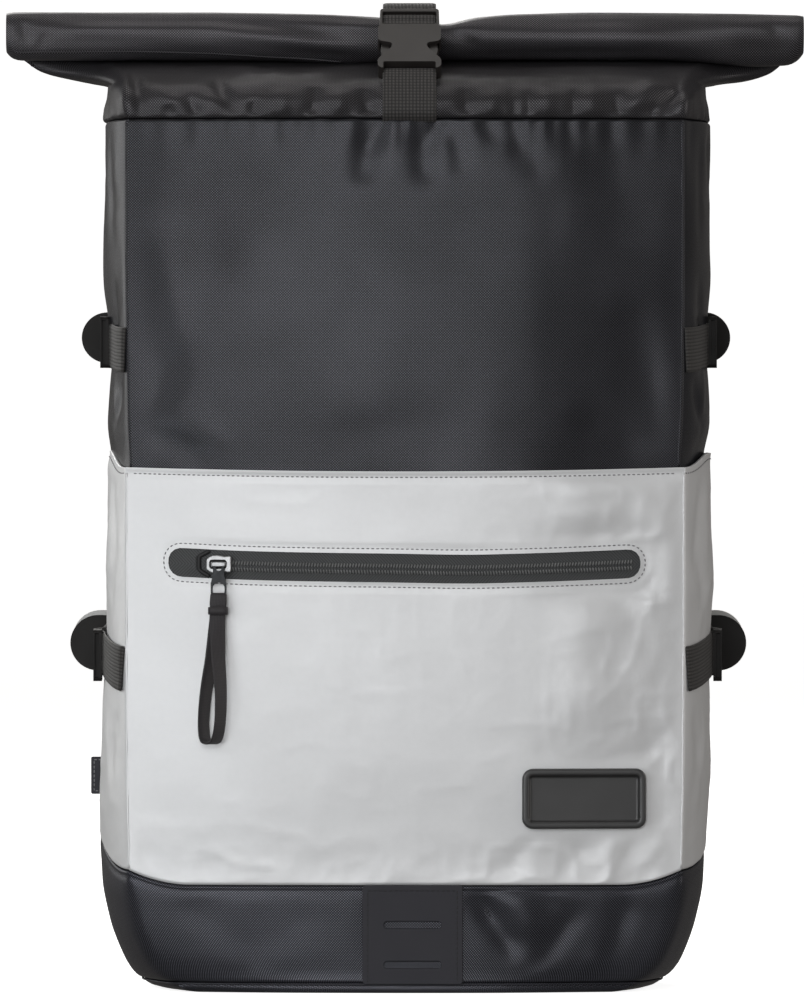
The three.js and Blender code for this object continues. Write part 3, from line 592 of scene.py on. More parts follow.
def brushedMetal(name, look):
    material, shade, feed = newMaterial(name, Metallic=1.0)
    place = shade.solidPlace()
    long = shade.node("ShaderNodeMapping", None, {"Vector": place, "Scale": (300, 4000, 4000)})
    brush = shade.noise(long, 1.0, 2)
    stain = shade.noise(place, 350, 2)
    feed(Base_Color=stain.mix(tone(*look["dark"]), tone(*look["light"])),
         Roughness=look["rough"] + 0.15 * brush,
         Normal=shade.bump(brush, 0.15, 0.02))
    return material


def spacerMesh(name, look):
    # plain knit over the padding, cloudy with fibres
    material, shade, feed = newMaterial(name, Sheen_Weight=0.2, Roughness=look["rough"])
    fibre = shade.noise(shade.clothPlace()[0], 1.5, 2)
    depth = (look["cover"] + fibre * 0.3).clamped()
    feed(Base_Color=depth.mix(tone(*look["dark"]), tone(*look["light"])))
    return material


def sewingThread(name, look):
    material, shade, feed = newMaterial(name)
    strand = shade.noise(shade.solidPlace(), 2600, 2)
    feed(Base_Color=strand.mix(tone(*look["dark"]), tone(*look["light"])),
         Roughness=look["rough"] + 0.2 * strand)
    return material


blackNylon = ballisticNylon("black_nylon", {
    "dark": (0.002, 0.002, 0.0027), "light": (0.153, 0.155, 0.177),
    "rough": 0.34, "shine": 1.1, "gloss": 0.12})
# the black nylon again with brighter floats: painted light for the floor's bounce on the base
baseNylonPaintedBounce = ballisticNylon("base_nylon_painted_bounce", {
    "dark": (0.0025, 0.0026, 0.0036), "light": (0.205, 0.21, 0.25),
    "rough": 0.38, "shine": 1.1, "gloss": 0.13})
# the same black nylon re-tinted for the collar: its brownish dark is painted warm shade and its brighter
# floats are painted light
collarNylonPaintedLight = ballisticNylon("collar_nylon_painted_light", {
    "dark": (0.004, 0.0037, 0.0039), "light": (0.21, 0.203, 0.222),
    "rough": 0.44, "shine": 1.05, "gloss": 0.18})
# the collar's nylon with still brighter floats: painted light on the roll
rollNylonPaintedLight = ballisticNylon("roll_nylon_painted_light", {
    "dark": (0.004, 0.0037, 0.0039), "light": (0.26, 0.25, 0.275),
    "rough": 0.46, "shine": 1.05, "gloss": 0.2})
paleNylon = coatedCloth("pale_coated_nylon", {
    "dark": (0.605, 0.612, 0.621), "light": (0.69, 0.698, 0.706), "bump": 0.22, "rough": 0.42, "gloss": 0.5,
    "metal": 0.3})
strapWebbing = ribbedWebbing("strap_webbing", {
    "dark": (0.004, 0.0036, 0.0034), "light": (0.056, 0.0515, 0.0495), "rib": 1.64, "pick": 1.53, "rows": 0.9,
    "bump": 0.6, "rough": 0.72})
sideWebbing = ribbedWebbing("side_webbing", {
    "dark": (0.006, 0.0055, 0.005), "light": (0.034, 0.031, 0.029), "rib": 1.62, "pick": 1.5, "rows": 0.4,
    "bump": 0.5, "rough": 0.74})
loopWebbing = ribbedWebbing("loop_webbing", {
    "dark": (0.006, 0.0052, 0.006), "light": (0.032, 0.027, 0.031), "rib": 0.7, "pick": 0.7, "rows": 0.5,
    "bump": 0.3, "rough": 0.66})
zipTwill = twillTape("zip_twill", {
    "dark": (0.007, 0.0076, 0.008), "light": (0.046, 0.049, 0.051), "pitch": 1.5, "spine": 199.5,
    "bump": 0.45, "rough": 0.68})
bucklePlastic = mouldedPlastic("buckle_plastic", {
    "dark": (0.012, 0.0103, 0.0095), "light": (0.018, 0.0155, 0.0143), "rough": 0.3, "bump": 0.25,
    "gloss": 0.33})
darkPlastic = mouldedPlastic("dark_plastic", {
    "dark": (0.006, 0.0054, 0.005), "light": (0.010, 0.009, 0.0086), "rough": 0.5, "bump": 0.25,
    "gloss": 0.22})
coilPlastic = mouldedPlastic("coil_plastic", {
    "dark": (0.085, 0.088, 0.088), "light": (0.165, 0.17, 0.17), "rough": 0.3, "bump": 0.15, "gloss": 0.5})
palePlastic = mouldedPlastic("pale_wing_back", {
    "dark": (0.42, 0.42, 0.41), "light": (0.5, 0.5, 0.49), "rough": 0.5, "bump": 0.2, "gloss": 0.4})
badgeRubber = mouldedPlastic("badge_rubber", {
    "dark": (0.024, 0.024, 0.0245), "light": (0.034, 0.034, 0.0345), "rough": 0.34, "bump": 0.35,
    "gloss": 0.65})
patchRubber = mouldedPlastic("patch_rubber", {
    "dark": (0.019, 0.0187, 0.0245), "light": (0.025, 0.0246, 0.031), "rough": 0.52, "bump": 0.3,
    "gloss": 0.3})
zipMetal = brushedMetal("zip_metal", {"dark": (0.2, 0.202, 0.205), "light": (0.36, 0.363, 0.368),
                                      "rough": 0.26})
tabMetal = brushedMetal("tab_metal", {"dark": (0.012, 0.0125, 0.013), "light": (0.036, 0.037, 0.039),
                                      "rough": 0.3})
padMesh = spacerMesh("pad_mesh", {"dark": (0.006, 0.006, 0.007), "light": (0.035, 0.035, 0.038),
                                  "cover": 0.4778, "rough": 0.784})
paleThread = sewingThread("pale_thread", {"dark": (0.13, 0.13, 0.135), "light": (0.24, 0.24, 0.25),
                                          "rough": 0.5})
darkThread = sewingThread("dark_thread", {"dark": (0.006, 0.006, 0.007), "light": (0.014, 0.014, 0.015),
                                          "rough": 0.55})
print("finishes mixed")


# camera, floor and light

viewpoint = {"place": (-1.4, -4570, 229.3), "planeY": -70, "planeHeight": 464.6, "sensor": 36}


def placeCamera():
    camera = bpy.data.objects.new("camera", bpy.data.cameras.new("camera"))
    scene.collection.objects.link(camera)
    distance = viewpoint["planeY"] - viewpoint["place"][1]
    camera.data.sensor_width = viewpoint["sensor"]
    camera.data.lens = viewpoint["sensor"] * distance / viewpoint["planeHeight"]
    camera.data.clip_end = 60
    camera.location = Vector(viewpoint["place"]) * mm
    camera.rotation_euler = (math.radians(90), 0, 0)
    scene.camera = camera


studio = {
    "front": {"place": (-0.52, -5.2, 1.1), "size": (2.2, 2.6), "power": 91, "colour": (0.985, 0.99, 1)},
    "key": {"place": (-1.5, -1.5, 0.75), "size": (1.0, 1.5), "power": 12.5, "colour": (0.97, 0.985, 1)},
    "right": {"place": (2.6, -0.5, 0.8), "size": (1.0, 1.8), "power": 18, "colour": (1, 0.96, 0.92)},
    "rear": {"place": (-1.65, 1.1, 0.85), "size": (1.2, 1.6), "power": 13.5, "colour": (1, 1, 0.98)},
    "top": {"place": (-0.2, 0.1, 3.2), "size": (2.4, 2.4), "power": 26, "colour": (1, 0.97, 0.94)},
    "back": {"place": (-1.1, 3.8, 2.9), "size": (2.4, 1.8), "power": 70, "colour": (1, 0.99, 0.97)},
    "table": {"place": (-0.5, -0.85, 0.055), "size": (0.36, 0.1), "power": 1.0, "colour": (0.94, 0.975, 1)},
}


def lightStudio():
    target = Vector((0, 0, 0.24))
    for name, lamp in studio.items():
        data = bpy.data.lights.new(name, "AREA")
        data.shape = "RECTANGLE"
        data.size, data.size_y = lamp["size"]
        data.energy, data.color = lamp["power"], lamp["colour"]
        light = bpy.data.objects.new(name, data)
        light.location = lamp["place"]
        light.visible_camera = False
        light.rotation_euler = (target - light.location).to_track_quat("-Z", "Y").to_euler()
        scene.collection.objects.link(light)
    world = bpy.data.worlds.new("studio")
    world.use_nodes = True
    world.node_tree.nodes["Background"].inputs["Color"].default_value = (1, 0.95, 0.9, 1)
    world.node_tree.nodes["Background"].inputs["Strength"].default_value = 0.15
    scene.world = world
    scene.view_settings.view_transform = "Standard"


sweep = {"floorRadius": 7000, "bendRadius": 1500, "wall": 4000, "around": 72}


def layFloor():
    # a floor that curves up into a wall all round, far behind every camera
    bend = np.linspace(0, np.pi / 2, 12)
    radius = np.concatenate([[1, 1500], sweep["floorRadius"] + sweep["bendRadius"] * np.sin(bend)])
    height = np.concatenate([[0, 0], sweep["bendRadius"] * (1 - np.cos(bend))])
    radius, height = np.append(radius, radius[-1])[:, None], np.append(height, sweep["wall"])[:, None]
    turn = np.linspace(0, 2 * np.pi, sweep["around"] + 1)[None]
    points = spread(radius * np.cos(turn), -radius * np.sin(turn), height)
    floor = gridSheet("floor", points, points[..., :2])
    material, shade, feed = newMaterial("pale_floor", Roughness=0.9, Specular_IOR_Level=0.1)
    dust = shade.noise(shade.solidPlace(), 3, 2)
    feed(Base_Color=dust.mix(tone(0.86, 0.86, 0.86), tone(0.9, 0.9, 0.9)))
    shader = material.node_tree.nodes["Principled BSDF"]
    shader.inputs["Emission Color"].default_value = (1, 1, 1, 1)
    shader.inputs["Emission Strength"].default_value = 0.86
    floor.data.materials.append(material)
    floor.visible_glossy = floor.visible_diffuse = False


placeCamera()
lightStudio()
layFloor()
print("camera, light and floor set")


# form of the bag, as in the solids but with fuller corners at the foot

bodyForm = {  # outside of the black wall, level by level
    "z": [0, 4, 9, 18, 34, 52, 110, 190, 246, 266, 300, 340, 407],
    "seam": [89, 103.5, 110.5, 117, 123, 126, 127.3, 127.6, 127.8, 128.6, 129.2, 129.6, 129.6],
    "bulge": [14.4, 17, 16.2, 14.5, 13.8, 14.1, 15.1, 14.8, 12, 14.1, 14.2, 14.6, 14.3],
    "front": [-50, -59, -61, -62, -62.5, -63, -63, -62, -61, -61, -60, -59, -57],
    "crown": [6, 11, 9, 8, 7.5, 7, 9, 10, 10, 10, 10, 9.5, 8],
    "back": [50, 58, 60, 60, 60, 60, 60, 60, 60, 60, 59.5, 59, 57],
}
formAt = {column: smoothCurve(bodyForm["z"], bodyForm[column]) for column in bodyForm}
swayAt = smoothCurve([0, 70, 110, 150, 190, 285, 330, 407], [-1, -1, 0.3, 1, 2, 2, 1, 0.8])  # to the right
crownAt = smoothCurve([-1, -0.75, -0.5, -0.2, 0, 0.25, 0.42, 0.55, 0.7, 0.85, 1],
                      [0, 0.5, 0.8, 0.96, 1, 0.985, 0.92, 0.77, 0.52, 0.26, 0])  # flatter than an arch
sideTaper = 2
sideLength = 122
bodyTop = 407
bodyFoot = 24
layerOut = 2.3  # outside of the pale layer and the base, measured out from the black wall
clearance = 0.3


def frontAt(x, z, out):
    share = x / (formAt["seam"](z) + out)
    y = formAt["front"](z) - out - formAt["crown"](z) * crownAt(share)
    return spread(x, y, z)


def sideAt(sign, share, z, out):
    swell = formAt["bulge"](z) * np.clip(np.sin(np.pi * np.clip(share, 0, 1)), 0, 1) ** 0.8
    x = sign * (formAt["seam"](z) + out - sideTaper * share + swell) + swayAt(z) * swell / 14
    front, back = formAt["front"](z) - out, formAt["back"](z) + out
    return spread(x, front + (back - front) * share, z)


def backAt(share, z, out):
    x = (formAt["seam"](z) + out - sideTaper) * (1 - 2 * share)
    return spread(x, formAt["back"](z) + out, z)


baseSeam = {  # heights, and the share of each side where the seam is at its highest
    "front": 50.3, "corner": 57, "back": 76, "left": 0.62, "right": 0.9}


def baseTop(side, share):
    front, corner, back = baseSeam["front"], baseSeam["corner"], baseSeam["back"]
    if side == "front":
        return front + (corner - front) * np.clip((np.abs(2 * share - 1) - 0.78) / 0.22, 0, 1) ** 2
    if side == "back":
        return back + 0 * share
    return corner + (back - corner) * smoothStep(share, 0, baseSeam[side])


pocketHem = {"front": 242.5, "corner": 244.5,
             "left": (8, 0.03, 0.38), "right": (6.9, 0, 0.35)}  # rise, and the shares between which it climbs


def pocketTop(side, share):
    if side == "front":
        return pocketHem["front"] + 2 * (2 * share - 1) ** 2
    rise, low, high = pocketHem[side]
    return pocketHem["corner"] + rise * smoothStep(share, low, high)


strapPull = [(303, 21, 3.0), (158, 20, 1.6)]  # height, half width and depth of the dent under each strap


def strapDent(share, z):
    # how far the pulled side straps press the cloth in
    middle = smoothStep(np.minimum(share, 1 - share), 0.02, 0.3)
    return middle * sum(deep * np.exp(-((z - level) / tall) ** 2) for level, tall, deep in strapPull)


# black front

frontPanel = {
    "step": 2.0, "thick": 1.5, "seamTurn": 0.15, "hiddenBelow": 230,
    "folds": [  # pleats from under the strap, then broad dents and corner creases
        (-11, 409, -18, 391, 6.2, 1.5), (-18, 397, -19, 377, 6.6, 1.2), (-5, 408, -8, 393, 4.6, -0.6),
        (15, 409, 7, 392, 6, 1.4), (7, 397, 11, 376, 6.4, 1.2), (16, 408, 25, 394, 4.8, 0.9),
        (25, 399, 26, 380, 5.6, 0.7), (46, 409, 57, 390, 6, 0.9), (56, 395, 63, 378, 7, 0.6),
        (34, 407, 45, 395, 4.8, 0.7), (72, 408, 80, 392, 6, 0.5), (92, 408, 98, 394, 5.5, 0.4),
        (-46, 408, -55, 392, 6, 0.6), (-74, 408, -83, 390, 6, 0.5), (-100, 408, -106, 394, 5.5, 0.4),
        (-98, 372, -86, 330, 13, 1.3), (-112, 350, -104, 300, 10, -0.8), (-84, 392, -70, 340, 15, 0.7),
        (-120, 262, -88, 246, 6, 1.2), (-118, 276, -80, 254, 7, -0.7), (-108, 300, -118, 268, 9, 1.1),
        (104, 320, 116, 270, 12, 0.8), (80, 268, 112, 250, 8, 0.8), (30, 268, -40, 256, 14, 0.6),
        (96, 396, 104, 340, 14, 0.6),
    ],
    "crumple": [(70, 0.7, 0.0), (30, 0.25, 0.2), (12, 0.06, 0.3)],
}


def frontSurface(x, z):
    p = frontAt(x, z, 0)
    gather = np.sin(x * 0.62 + 2.2 * np.sin(x * 0.09)) * np.exp(-(bodyTop - z) / 7)
    relief = foldRelief(x, z, frontPanel["folds"]) + crumple(p, frontPanel["crumple"], 2) + 0.35 * gather
    fromSeam = formAt["seam"](z) - np.abs(x)
    p[..., 1] -= relief * smoothStep(fromSeam, 0, 14)
    p[..., 1] -= turnIn(fromSeam, frontPanel["seamTurn"]) + turnIn(bodyTop - z, 1.8)
    return p


def makeFrontPanel():
    z = np.concatenate([np.arange(bodyFoot, frontPanel["hiddenBelow"], 9),
                        edgeSpaced(frontPanel["hiddenBelow"], bodyTop - 0.2, frontPanel["step"])])[:, None]
    seam = formAt["seam"](z) - 0.15
    x = seam * (edgeSpaced(-130, 130, frontPanel["step"]) / 130)[None]
    panel = sewSheet("front_panel_cloth", frontSurface(x, z), spread(x, z), frontPanel["thick"],
                     blackNylon, "ballistic_nylon", "front_panel")


# black sides

sidePanel = {
    "step": 2.4, "thick": 1.5, "seamTurn": 0.9,
    "folds": [  # along the side from the front seam, and height
        (18, 330, 34, 300, 5, 1.3), (6, 318, 22, 296, 3.5, -0.8), (10, 284, 26, 262, 4, 1.4),
        (30, 290, 20, 262, 4, -0.9), (40, 400, 52, 372, 7, 1.4), (70, 404, 66, 360, 9, 1.2),
        (24, 400, 20, 350, 6, 0.9), (86, 330, 70, 300, 8, 1.3), (60, 285, 84, 256, 9, 1.5),
    ],
    "crumple": [(46, 1.1, 0.1), (18, 0.45, 0.3)],
}


def makeSidePanel(side, sign):
    z = np.concatenate([np.arange(bodyFoot, 226, 9),
                        edgeSpaced(226, bodyTop - 0.2, sidePanel["step"])])[:, None]
    run = edgeSpaced(0.15, sideLength - 0.15, sidePanel["step"])[None]
    if sign < 0:
        run = run[:, ::-1]
    p = sideAt(sign, run / sideLength, z, 0)
    fromSeam = np.minimum(run, sideLength - run)
    relief = foldRelief(run, z, sidePanel["folds"]) + crumple(p, sidePanel["crumple"], 11 + sign)
    relief = relief * smoothStep(fromSeam, 0, 12) + turnIn(fromSeam, sidePanel["seamTurn"])
    relief = relief - strapDent(run / sideLength, z)
    p[..., 0] += sign * (relief + turnIn(bodyTop - z, 1.8))
    panel = sewSheet(f"side_panel_{side}_cloth", p, spread(sign * run, z), sidePanel["thick"],
                     blackNylon, "ballistic_nylon", f"side_panel_{side}")


# pale pocket layer

zipOpening = {"x0": -110, "x1": 109.5, "z": 200, "height": 13.4, "corner": 6, "slider": -86.5}
zipLine = smoothCurve([-112, -70, -37, -5, 28, 60, 93, 112], [0.7, -1.2, -1.9, -2.3, -2.8, -2.1, -0.9, 0])
paleFront = {
    "step": 1.6, "thick": 1.5, "hemStitch": 2.7, "zipStitch": 2.2, "swell": 2.7, "swellX": 88,
    "flat": {"x": 83, "z": 90, "halfX": 30, "halfZ": 15},  # kept smooth behind the badge
    "folds": [
        (-92, 230, -58, 216, 6, 0.5), (-84, 222, -44, 212, 5, -0.4), (-112, 224, -96, 205, 5, 0.5),
        (92, 236, 116, 206, 7, 1.0), (112, 232, 104, 190, 6, -0.8), (96, 188, 118, 160, 7, 1.1),
        (118, 176, 108, 140, 6, -0.9), (84, 168, 112, 130, 9, 0.9), (118, 122, 104, 92, 6, 1.1),
        (58, 74, 47, 54, 5, 1.1), (62, 72, 70, 56, 6, -0.8), (84, 70, 72, 54, 5, 0.9),
        (100, 74, 88, 58, 6, -0.9), (112, 84, 100, 60, 5, 1.3), (120, 72, 110, 58, 4, -0.8),
        (-118, 92, -96, 62, 8, 0.6), (-60, 70, -40, 54, 8, 0.4), (10, 66, 26, 54, 7, 0.4),
        (-116, 170, -104, 130, 8, 0.5),
    ],
    "crumple": [(70, 0.3, 0.0), (34, 0.2, 0.6), (15, 0.13, 0.8), (8, 0.05, 0.8)],
}


def zipDistance(x, z):
    # how far a point lies outside the zip's rounded opening
    middle = (zipOpening["x0"] + zipOpening["x1"]) / 2
    halfX = (zipOpening["x1"] - zipOpening["x0"]) / 2 - zipOpening["corner"]
    halfZ = zipOpening["height"] / 2 - zipOpening["corner"]
    dx, dz = np.abs(x - middle) - halfX, np.abs(z - zipOpening["z"] - zipLine(x)) - halfZ
    outside = np.hypot(np.maximum(dx, 0), np.maximum(dz, 0))
    return outside + np.minimum(np.maximum(dx, dz), 0) - zipOpening["corner"]


def paleSurface(x, z, lift=0):
    p = frontAt(x, z, layerOut)
    seam = formAt["seam"](z) + layerOut
    share = (x / seam + 1) / 2
    toTop = pocketTop("front", share) - z
    toBase = z - baseTop("front", share)
    fromSeam = seam - np.abs(x)
    fromZip = zipDistance(x, z)
    flat = paleFront["flat"]
    fromFlat = np.maximum(np.abs(x - flat["x"]) - flat["halfX"], np.abs(z - flat["z"]) - flat["halfZ"])
    right = 0.7 + 2.6 * smoothStep(x, 45, 108) + 1.5 * smoothStep(-toBase, -26, -6)
    relief = 0.4 * foldRelief(x, z, paleFront["folds"]) + right * crumple(p, paleFront["crumple"], 4)
    fromSwell = x - paleFront["swellX"]
    swell = paleFront["swell"] * np.exp(-(fromSwell / np.where(fromSwell < 0, 20, 28)) ** 2)
    swell = swell * smoothStep(z, 108, 140) * smoothStep(fromZip, 2, 20)
    relief = relief * smoothStep(fromFlat, 0, 8) + swell
    relief = relief * smoothStep(fromSeam, 0, 10) * smoothStep(fromZip, 1, 9) * smoothStep(toTop, 1, 12)
    relief = relief - 0.45 * np.exp(-((toTop - paleFront["hemStitch"]) / 1.4) ** 2)
    relief = relief - 0.4 * np.exp(-((fromZip - paleFront["zipStitch"]) / 1.4) ** 2)
    relief = relief + turnIn(fromSeam, 0.12) + turnIn(toBase, 1.3)
    p[..., 1] -= relief + lift
    return p


def makePaleFront():
    share = (edgeSpaced(-131, 131, paleFront["step"]) / 131 + 1)[None] / 2
    low, high = baseTop("front", share) + 0.15, pocketTop("front", share)
    rise = (edgeSpaced(0, 192, paleFront["step"]) / 192)[:, None]
    z = low + (high - low) * rise
    x = (formAt["seam"](z) + layerOut - 0.15) * (2 * share - 1)
    panel = gridSheet("pale_front_cloth", paleSurface(x, z), np.stack([x, z], -1))
    thicken(panel, paleFront["thick"])
    x, z = zipOutline(0, 181)
    count = len(x) - 1
    rim = np.stack([x, 0 * x - 72, z], -1)[:-1]
    walls = [(i, (i + 1) % count, (i + 1) % count + count, i + count) for i in range(count)]
    ends = [tuple(range(count)), tuple(range(count, 2 * count))]
    cutter = meshPiece("zip_cutter", np.concatenate([rim - (0, 20, 0), rim + (0, 20, 0)]), walls + ends)
    cutWith(panel, faceOut(cutter))
    onlySelect(panel)
    bpy.ops.object.shade_smooth_by_angle(angle=math.radians(45))
    finishPiece(panel, paleNylon, "pale_coated_cloth", "pocket_front")


def zipOutline(grow, count=260):
    # points once round the opening, grown outwards
    x0, x1 = zipOpening["x0"] - grow, zipOpening["x1"] + grow
    half, corner = zipOpening["height"] / 2 + grow, zipOpening["corner"] + grow
    line = []
    for cx, cz, first in ((x1 - corner, half - corner, 0), (x0 + corner, half - corner, 90),
                          (x0 + corner, corner - half, 180), (x1 - corner, corner - half, 270)):
        turn = np.radians(first + np.linspace(0, 90, 12))
        line += [(cx + corner * math.cos(t), zipOpening["z"] + cz + corner * math.sin(t)) for t in turn]
    line = np.array(line + line[:1])
    run = np.concatenate([[0], np.cumsum(np.hypot(*np.diff(line, axis=0).T))])
    stops = np.linspace(0, run[-1], count)
    x, z = np.interp(stops, run, line[:, 0]), np.interp(stops, run, line[:, 1])
    return x, z + zipLine(x)


def makePaleStitches():
    share = np.linspace(0.015, 0.985, 200)
    z = pocketTop("front", share) - paleFront["hemStitch"]
    x = (formAt["seam"](z) + layerOut) * (2 * share - 1)
    hem = paleSurface(x, z, 0.12)
    ring = paleSurface(*zipOutline(paleFront["zipStitch"]), 0.12)
    thread = stitches("pale_stitches", [hem, ring], 2.3, 1.35, 0.3)
    finishPiece(thread, paleThread, "pale_coated_cloth")


sidePocket = {
    "step": 2.2, "thick": 1.5, "mouth": 0.9, "leftLean": 1.8,
    "folds": [
        (20, 236, 8, 196, 4, 0.8), (30, 238, 22, 190, 5, -0.9), (12, 206, 26, 170, 4, 1.0),
        (34, 200, 18, 168, 5, -0.9), (10, 130, 24, 92, 5, 1.0), (30, 128, 16, 84, 5, -0.8),
        (50, 230, 60, 176, 10, 0.9), (80, 236, 72, 180, 9, 0.8), (60, 134, 74, 92, 9, 0.9),
    ],
    "crumple": [(50, 0.7, 0.1), (22, 0.45, 0.6), (11, 0.16, 0.8)],
}


def makeSidePocket(side, sign):
    run = edgeSpaced(0.15, sideLength - 0.15, sidePocket["step"])[None]
    if sign < 0:
        run = run[:, ::-1]
    share = run / sideLength
    low, high = baseTop(side, share) + 0.15, pocketTop(side, share)
    rise = (edgeSpaced(0, 185, sidePocket["step"]) / 185)[:, None]
    z = low + (high - low) * rise
    stand = sidePocket["mouth"] * np.sin(np.pi * share) * smoothStep(rise, 0.64, 1)
    if side == "left":
        stand = stand - sidePocket["leftLean"] * np.sin(np.pi * share) * smoothStep(rise, 0.955, 1)
    p = sideAt(sign, share, z, layerOut + stand)
    fromSeam = np.minimum(run, sideLength - run)
    relief = (0.85 + 0.25 * sign) * foldRelief(run, z, sidePocket["folds"])
    relief = relief + crumple(p, sidePocket["crumple"], 21 + sign)
    relief = relief * smoothStep(fromSeam, 0, 10) * smoothStep(high - z, 0, 14)
    relief = relief + turnIn(fromSeam, 0.25) + turnIn(z - low, 1.3) - strapDent(share, z)
    p[..., 0] += sign * relief
    pocket = sewSheet(f"side_pocket_{side}_cloth", p, spread(sign * run, z), sidePocket["thick"],
                      paleNylon, "pale_coated_cloth", f"side_pocket_{side}")
    level = (1 - paleFront["hemStitch"] / (high - low))[0]
    hem = np.array([[np.interp(level[i], rise[:, 0], p[:, i, k]) for k in range(3)]
                    for i in range(1, len(level) - 1)])
    thread = stitches(f"pocket_stitches_{side}", [hem + (sign * 0.12, 0, 0)], 2.3, 1.35, 0.3)
    finishPiece(thread, paleThread, "pale_coated_cloth")


cornerRidge = {"radius": 0.85, "out": -0.4}


def makeCornerRidges(side, sign):
    # the sewn edge that runs up each front corner
    for name, low, high, out, material, slotName in (
            ("pale", 58, 243.5, layerOut, paleNylon, "pale_coated_cloth"),
            ("black", 244.5, 405.5, 0, blackNylon, "ballistic_nylon")):
        z = np.arange(low, high, 2.0)
        p = frontAt(sign * (formAt["seam"](z) + out), z, out)
        p[:, 0] += sign * cornerRidge["out"]
        p[:, 1] += 0.6
        p += 0.12 * softNoise(p, 9, 3)[:, None]
        ridge = beadAlong(f"corner_ridge_{name}_{side}", p, cornerRidge["radius"])
        finishPiece(ridge, material, slotName)


print("building the cloth panels")
makeFrontPanel()
makePaleFront()
makePaleStitches()
for side, sign in (("left", -1), ("right", 1)):
    makeSidePanel(side, sign)
    makeSidePocket(side, sign)
    makeCornerRidges(side, sign)


# base

base = {
    "step": 2.2, "thick": 1.5, "groove": 2.4, "rounds": 5,
    "folds": [  # across the front, from its middle
        (32, 50, 40, 34, 5, 1.8), (38, 38, 52, 18, 5.5, 1.7), (48, 50, 60, 26, 6, -1.0),
        (80, 40, 62, 12, 6, 1.3), (60, 52, 72, 36, 5, 0.9), (96, 30, 84, 8, 6, -0.7),
        (104, 44, 94, 16, 6, 1.1), (70, 12, 56, 6, 4, -0.7), (-40, 34, -80, 18, 9, 0.3),
        (-96, 44, -74, 20, 7, 0.3), (-60, 50, -46, 30, 6, 0.3),
    ],
    "crumple": [(42, 0.6, 0.1), (17, 0.25, 0.3)],
}


columnRun = {"halfBack": 128, "front": 258}  # lengths that set the number of columns


def aroundForm(z, out, step):
    # columns of points once round, from the middle of the back
    sides = [("back", np.linspace(0.5, 1, round(columnRun["halfBack"] / step) + 1)[:-1]),
             ("left", np.linspace(1, 0, round(sideLength / step) + 1)[:-1]),
             ("front", np.linspace(0, 1, round(columnRun["front"] / step) + 1)[:-1]),
             ("right", np.linspace(0, 1, round(sideLength / step) + 1)[:-1]),
             ("back", np.linspace(0, 0.5, round(columnRun["halfBack"] / step) + 1))]
    columns = []
    for side, share in sides:
        level = z(side, share)
        if side == "front":
            seam = formAt["seam"](level) + out
            columns.append(frontAt(seam * (2 * share[None] - 1), level, out))
        elif side == "back":
            columns.append(backAt(share[None], level, out))
        else:
            columns.append(sideAt(1 if side == "right" else -1, share[None], level, out))
    return np.concatenate(columns, 1)


def ringAt(formZ, out, step):
    # one level ring round the form
    return aroundForm(lambda side, share: np.full((1, len(share)), float(formZ)), out, step)[0]


def roundRun(points, row):
    # distance along one row, from its middle
    run = runAlong(points[row])
    return run - run[len(run) // 2]


def makeBaseWall():
    rise = (edgeSpaced(0, 46, base["step"]) / 46)[:, None]
    foot = 4.4

    def level(side, share):
        return foot + (baseTop(side, share)[None] - 0.15 - foot) * rise

    p = aroundForm(level, layerOut, base["step"])
    top = p[-1:, :, 2]
    rounded = p.copy()
    for _ in range(base["rounds"]):
        rounded[:, 1:-1] = (rounded[:, :-2] + 2 * rounded[:, 1:-1] + rounded[:, 2:]) / 4
    p[..., :2] += (rounded - p)[..., :2] * smoothStep(top - p[..., 2], 0, 16)[..., None]
    toTop, toFoot = top - p[..., 2], p[..., 2] - foot
    relief = crumple(p, base["crumple"], 33)
    front = p[..., 1] < -50
    relief = relief + np.where(front, foldRelief(p[..., 0], p[..., 2], base["folds"]), 0)
    behindPatch = (np.abs(p[..., 0] - 3.5) < 25) & front
    relief = relief * smoothStep(toTop, 0, 9) * smoothStep(toFoot, 0, 9) * np.where(behindPatch, 0.15, 1)
    relief = relief - 0.5 * np.exp(-((toTop - base["groove"]) / 0.8) ** 2)
    relief = relief + turnIn(toTop, 1.3) + turnIn(toFoot, 1.6)
    p = p + gridNormals(p) * relief[..., None]
    wall = sewSheet("base_wall_cloth", p, spread(roundRun(p, len(p) // 2)[None], p[..., 2]), base["thick"],
                    baseNylonPaintedBounce, "ballistic_nylon", "base_wall")


bottom = {"rim": 4.2, "thick": 0.96, "step": 3.0, "lean": [0.985, 0.997, 1.0, 1.0, 1.0]}


def makeBottomPanel():
    # a flat foot that turns up into a rim, with a sewn lip along its top
    rows = [(0.0, 0.3, 0.02), (0.0, 0.3, 0.4), (0.0, 0.15, 0.75), (0.0, 0.0, 0.97), (0.0, 0.0, 1.0),
            (1.2, 0.3, 1.0), (2.2, 0.9, 1.0), (3.0, 1.8, 1.0), (3.6, 2.9, 1.0), (bottom["rim"], 4.1, 1.0)]
    loops = []
    for formZ, height, share in rows:
        loop = ringAt(formZ, layerOut, bottom["step"])
        loop[:, :2] *= share
        loop[:, 2] = height
        loops.append(loop)
    p = np.array(loops)
    p[5:, :, 1] = p[-1, :, 1] * np.array(bottom["lean"])[:, None]
    p[-1, :, :2] *= 0.995
    panel = gridSheet("bottom_panel_cloth", p, spread(roundRun(p, len(p) - 2)[None], runAlong(p)))
    thicken(panel, bottom["thick"])
    onlySelect(panel)
    bpy.ops.object.shade_smooth_by_angle(angle=math.radians(35))
    finishPiece(panel, baseNylonPaintedBounce, "ballistic_nylon", "bottom_panel")
    lip = ringAt(bottom["rim"] + 0.1, layerOut, bottom["step"])
    lip[:, 2] = bottom["rim"] + 0.1
    bead = beadAlong("bottom_lip", lip, 0.55, (0, 0, 1))
    finishPiece(bead, baseNylonPaintedBounce, "ballistic_nylon")


makeBaseWall()
makeBottomPanel()
print("base sewn on")


# collar and roll

